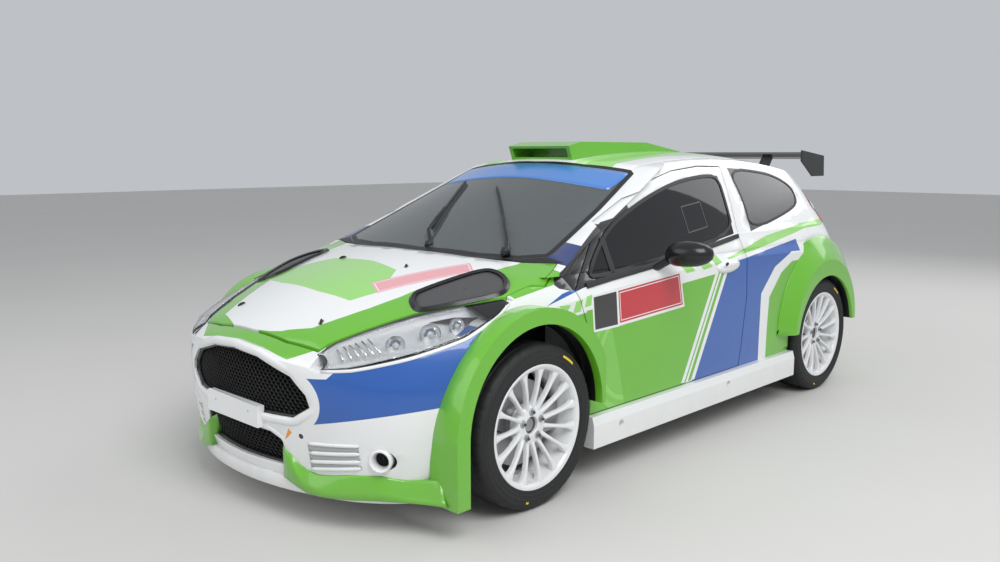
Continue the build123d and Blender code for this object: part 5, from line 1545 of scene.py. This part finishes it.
def rear_details():
    """Diffuser, blank plate, outlets filled with painted shade and the round lamps at the back."""
    skin = Skin("rear_bumper", "tailgate", "tail_lamps", "tailgate_glass")
    facing = (-1, 0, 0)
    floor_line = dense(round_corners(DIFFUSER, 0.03), 0.02)
    panel = filled_panel("diffuser_panel", floor_line, skin.back, TRIM, 0.002, 0.005, facing, 5)
    add_one(panel)
    fins = []
    for y in FIN_PLACES:
        face = skin.back(y, 0.24).x
        rings = [
            [(face + 0.01, y - 0.004, z), (face + 0.01, y + 0.004, z), (face - reach, y + 0.003, z),
             (face - reach, y - 0.003, z)]
            for z, reach in FIN_PROFILE
        ]
        fins.append(solid_through("fin", rings, TRIM))
    add_one(join("diffuser_fins", fins))
    heights = (0.503, 0.536, 0.570, 0.603)
    plate_rows = [[skin.back(-0.257 + 0.0257 * k, z) for z in heights] for k in range(21)]
    add_one(sheet_over("rear_plate", plate_rows, PLATE_WHITE, 0.003, 0.004, facing))
    plate_line = round_corners(REAR_PLATE, 0.008)
    rim = frame_band("rear_plate_rim", plate_line, skin.back, 0.004, 0.003, TRIM, 0.004, 0.006, facing)
    add_one(rim)
    # near-black panels in the outlets: painted shade
    outlet_line = round_corners(OUTLET, 0.02)
    filling = dense(outlet_line, 0.02)
    outlet = filled_panel("rear_outlet_left", filling, skin.back, SHADE_BACKING, 0.001, 0.003, facing, 4)
    add_pair(outlet)
    rim = frame_band("rear_outlet_rim_left", outlet_line, skin.back, 0.006, 0.006, TRIM, 0.004, 0.006, facing)
    add_pair(rim)
    for label, place, radius, material in (
        ("stop", (-1.545, 0.985), 0.036, LAMP_STOP), ("reverse", (-1.500, 1.060), 0.030, LAMP_BEZEL),
    ):
        line = oval(place, radius, radius, 0.0)
        lens = dome(f"{label}_lens_left", line, skin.side, 0.008, (-0.25, 0.96, 0.1), material)
        add_pair(lens)
        ring = frame_band(
            f"{label}_ring_left", line, skin.side, 0.003, 0.004, GLOSS_BLACK, 0.002, 0.003, (-0.5, 1, 0))
        add_pair(ring)


SEAT_MIDDLES = (0.340, -0.340)
SEAT_SHELL = [
    # x, z of the pan's middle line from its front edge up to the head, half width, depth of the wings
    (0.185, 0.372, 0.215, 0.050), (0.120, 0.352, 0.225, 0.085), (0.000, 0.332, 0.230, 0.110),
    (-0.140, 0.318, 0.232, 0.125), (-0.235, 0.345, 0.232, 0.150), (-0.292, 0.430, 0.230, 0.165),
    (-0.325, 0.560, 0.232, 0.150), (-0.355, 0.700, 0.240, 0.130), (-0.385, 0.830, 0.236, 0.105),
    (-0.408, 0.920, 0.178, 0.095), (-0.425, 1.000, 0.158, 0.120), (-0.440, 1.070, 0.140, 0.105),
    (-0.452, 1.092, 0.110, 0.040),
]
SEAT_PADS = [("base", 0, 4, 0.145, 0.034), ("back", 5, 8, 0.140, 0.030), ("head", 9, 11, 0.095, 0.028)]
SEAT_STEPS = 8


def seat_frames():
    """Place, upward direction, half width and depth of the wings along the seat's middle line."""
    result = []
    for index, (x, z, half, wing) in enumerate(SEAT_SHELL):
        before = SEAT_SHELL[max(0, index - 1)]
        after = SEAT_SHELL[min(len(SEAT_SHELL) - 1, index + 1)]
        along = Vector((after[0] - before[0], 0, after[1] - before[1])).normalized()
        up = Vector((along.z, 0, -along.x))
        result.append((Vector((x, 0, z)), up, half, wing))
    return result


def add_pad(name, frames, middle, low, high, thick):
    """One stuffed cushion of a seat."""
    pad = crowned_pad(name, frames, middle, low, high, thick)
    add_one(pad)


def seats():
    """Two moulded competition seats, each with padded cushions and a harness."""
    frames = seat_frames()
    for label, middle in zip(("left", "right"), SEAT_MIDDLES):
        rows = []
        for place, up, half, wing in frames:
            row = []
            for k in range(2 * SEAT_STEPS + 1):
                across = -1 + k / SEAT_STEPS
                reach = abs(across)
                rise = wing * max(0.0, (reach - 0.55) / 0.45) ** 1.4
                narrow = half * (across if reach < 0.7 else math.copysign(0.7 + (reach - 0.7) * 0.8, across))
                row.append(place + up * rise + Vector((0, middle + narrow, 0)))
            rows.append(row)
        shell = sheet_over(f"seat_shell_{label}", rows, GLOSS_BLACK, 0.0, 0.006, (0.6, 0, 0.6), bevel=0.002)
        add_one(shell, nodes=("seats",))
        for name, first, last, reach, thick in SEAT_PADS:
            add_pad(f"seat_{name}_{label}", frames[first:last + 1], middle, -reach, reach, thick)
        for place, sign in (("outer", 1), ("inner", -1)):
            low, high = sorted((sign * 0.155, sign * 0.205))
            add_pad(f"seat_wing_{label}_{place}", frames[6:8], middle, low, high, 0.060)
            belt = [
                [spot + up * 0.040 + Vector((0, middle + sign * 0.075 + edge, 0)) for edge in (-0.022, 0.022)]
                for spot, up, *_ in frames[5:10]
            ]
            add_one(sheet_over("harness", belt, HARNESS, 0.0, 0.003, (1, 0, 0.2)))


def crowned_pad(name, frames, middle, low, high, thick):
    """A cushion along the seat's middle line: full in its middle, thin at its piped edge."""
    rings = []
    total = len(frames) * 4
    for step in range(total + 1):
        share = step / total
        along = share * (len(frames) - 1)
        index = min(len(frames) - 2, int(along))
        place, up = (frames[index][k].lerp(frames[index + 1][k], along - index) for k in (0, 1))
        up.normalize()
        swell = max(0.04, math.sin(math.pi * share) ** 0.35)
        half = (high - low) / 2 * (0.90 + 0.10 * swell)
        ring = []
        for u, v in ring_points(1.0, 24):
            reach = (low + high) / 2 + half * math.copysign(abs(u) ** 0.6, u)
            height = 0.004 + thick * (0.5 + 0.5 * math.copysign(abs(v) ** 0.8, v)) * swell
            ring.append(place + up * height + Vector((0, middle + reach, 0)))
        rings.append(ring)
    pad = solid_through(name, rings, CLOTH)
    smooth = pad.modifiers.new("smooth", "SUBSURF")
    smooth.levels = 1
    smooth.render_levels = 1
    return pad


# The steering wheel in the frame of its own axis
WHEEL_TILT = math.radians(24)
WHEEL_CENTRE = Vector((0.330, 0.340, 0.800))
WHEEL_RADIUS = 0.160
WHEEL_STEPS = 64
WHEEL_SPOKES = (0, 135, 225)
WHEEL_SPOKE_ROWS = [  # reach, half width, rise
    (0.030, 0.024, -0.020), (0.075, 0.014, -0.014), (0.120, 0.012, -0.006), (0.156, 0.018, 0.0),
]
WHEEL_HUB = [
    (0.002, 0.006), (0.030, 0.004), (0.036, -0.004), (0.038, -0.030), (0.024, -0.045), (0.022, -0.240),
    (0.002, -0.240),
]


def steering_wheel():
    """A small suede-rimmed wheel with three spokes, a hub and its column."""
    turn = turn_to(Vector((-math.cos(WHEEL_TILT), 0, math.sin(WHEEL_TILT))))
    rings = []
    for step in range(WHEEL_STEPS):
        angle = 2 * math.pi * step / WHEEL_STEPS
        out = Vector((math.cos(angle), math.sin(angle), 0))
        grip = 0.0155 + 0.0015 * math.cos(4 * angle)
        rings.append([
            WHEEL_CENTRE + turn @ (out * (WHEEL_RADIUS + grip * u) + Vector((0, 0, grip * v)))
            for u, v in ring_points(1.0, 14)
        ])
    pieces = [solid_through("rim", rings, CLOTH, loop=True)]
    for angle in WHEEL_SPOKES:
        out = Vector((math.cos(math.radians(angle)), math.sin(math.radians(angle)), 0))
        across = Vector((-out.y, out.x, 0))
        bars = [
            [WHEEL_CENTRE + turn @ (out * reach + across * (half * u) + Vector((0, 0, rise + 0.0025 * v)))
             for u, v in ((-1, -1), (1, -1), (1, 1), (-1, 1))]
            for reach, half, rise in WHEEL_SPOKE_ROWS
        ]
        pieces.append(solid_through("spoke", bars, STEEL))
    pieces.append(solid_through("hub", round_rings(WHEEL_HUB, 28, WHEEL_CENTRE, turn), TRIM))
    add_one(join("steering_wheel_detail", pieces), nodes=("steering_wheel",))


# Width of the rounded edges on the carried-over bodywork
EDGE_WIDTHS = {
    0.008: ("roof_scoop", "dashboard"),
    0.006: ("front_flares", "rear_flares"),
    0.005: ("side_skirts",),
    0.004: ("front_splitter",),
    0.003: ("rear_wing", "rear_bumper", "tailgate", "tail_lamps"),
    0.0025: ("front_bumper", "bonnet", "door_left", "door_right", "fender_left", "fender_right",
             "body_side_left", "body_side_right"),
    0.002: ("roof_panel",),
}


def soften_cad_edges():
    """Small rounded edges on the carried-over bodywork."""
    for width, names in EDGE_WIDTHS.items():
        for name in names:
            weld = NODES[name].modifiers.new("weld", "WELD")
            weld.merge_threshold = 0.00005
            rounded(NODES[name], width, 0.5)


def dress_cad_nodes():
    """Give every carried-over CAD node its material."""
    for material, names in CAD_MATERIALS.items():
        for name in names.split():
            data = NODES[name].data
            data.materials.clear()
            data.materials.append(material)


FLOOR_REACH = 30.0
LAMPS = [  # name, place, size, energy
    ("key_lamp", Vector((2.5, 5.0, 6.0)), 4.0, 330.0),
    ("fill_lamp", Vector((6.0, -2.0, 4.5)), 5.0, 90.0),
    ("back_lamp", Vector((-6.0, 1.0, 5.0)), 5.0, 140.0),
]
LAMP_TARGET = Vector((0, 0, 0.5))


def stage():
    """Pale floor, plain soft lamps and the photograph's camera."""
    corners = [(FLOOR_REACH * u, FLOOR_REACH * v, 0) for u, v in ((-1, -1), (1, -1), (1, 1), (-1, 1))]
    floor_paint = Paint("floor", (0.62, 0.61, 0.59), 0.8)
    floor_paint.vary(0.8, 0.03)
    make_object("floor", corners, [(0, 1, 2, 3)], floor_paint.done(), smooth=False)

    world = bpy.data.worlds.new("studio")
    bpy.context.scene.world = world
    world.use_nodes = True
    background = world.node_tree.nodes["Background"]
    background.inputs["Color"].default_value = (0.86, 0.89, 0.93, 1)
    background.inputs["Strength"].default_value = 0.60
    for name, place, size, energy in LAMPS:
        lamp = bpy.data.lights.new(name, "AREA")
        lamp.size = size
        lamp.energy = energy
        holder = add_object(name, lamp)
        holder.location = place
        holder.rotation_euler = (LAMP_TARGET - place).to_track_quat("-Z", "Y").to_euler()

    camera_data = bpy.data.cameras.new("camera")
    camera_data.lens = CAMERA_LENS_MM
    camera_data.sensor_width = CAMERA_SENSOR_MM
    camera = add_object("camera", camera_data)
    camera.location = CAMERA_PLACE
    camera.rotation_euler = (CAMERA_TARGET - CAMERA_PLACE).to_track_quat("-Z", "Y").to_euler()
    bpy.context.scene.camera = camera
    bpy.context.scene.view_settings.view_transform = "Standard"


dress_cad_nodes()
place_wheels()
side_windows()
door_furniture()
side_mirrors()
grilles()
blank_plate()
headlamps()
bonnet_vents()
windscreen()
bumper_corners()
rear_details()
seats()
steering_wheel()
soften_cad_edges()
stage()
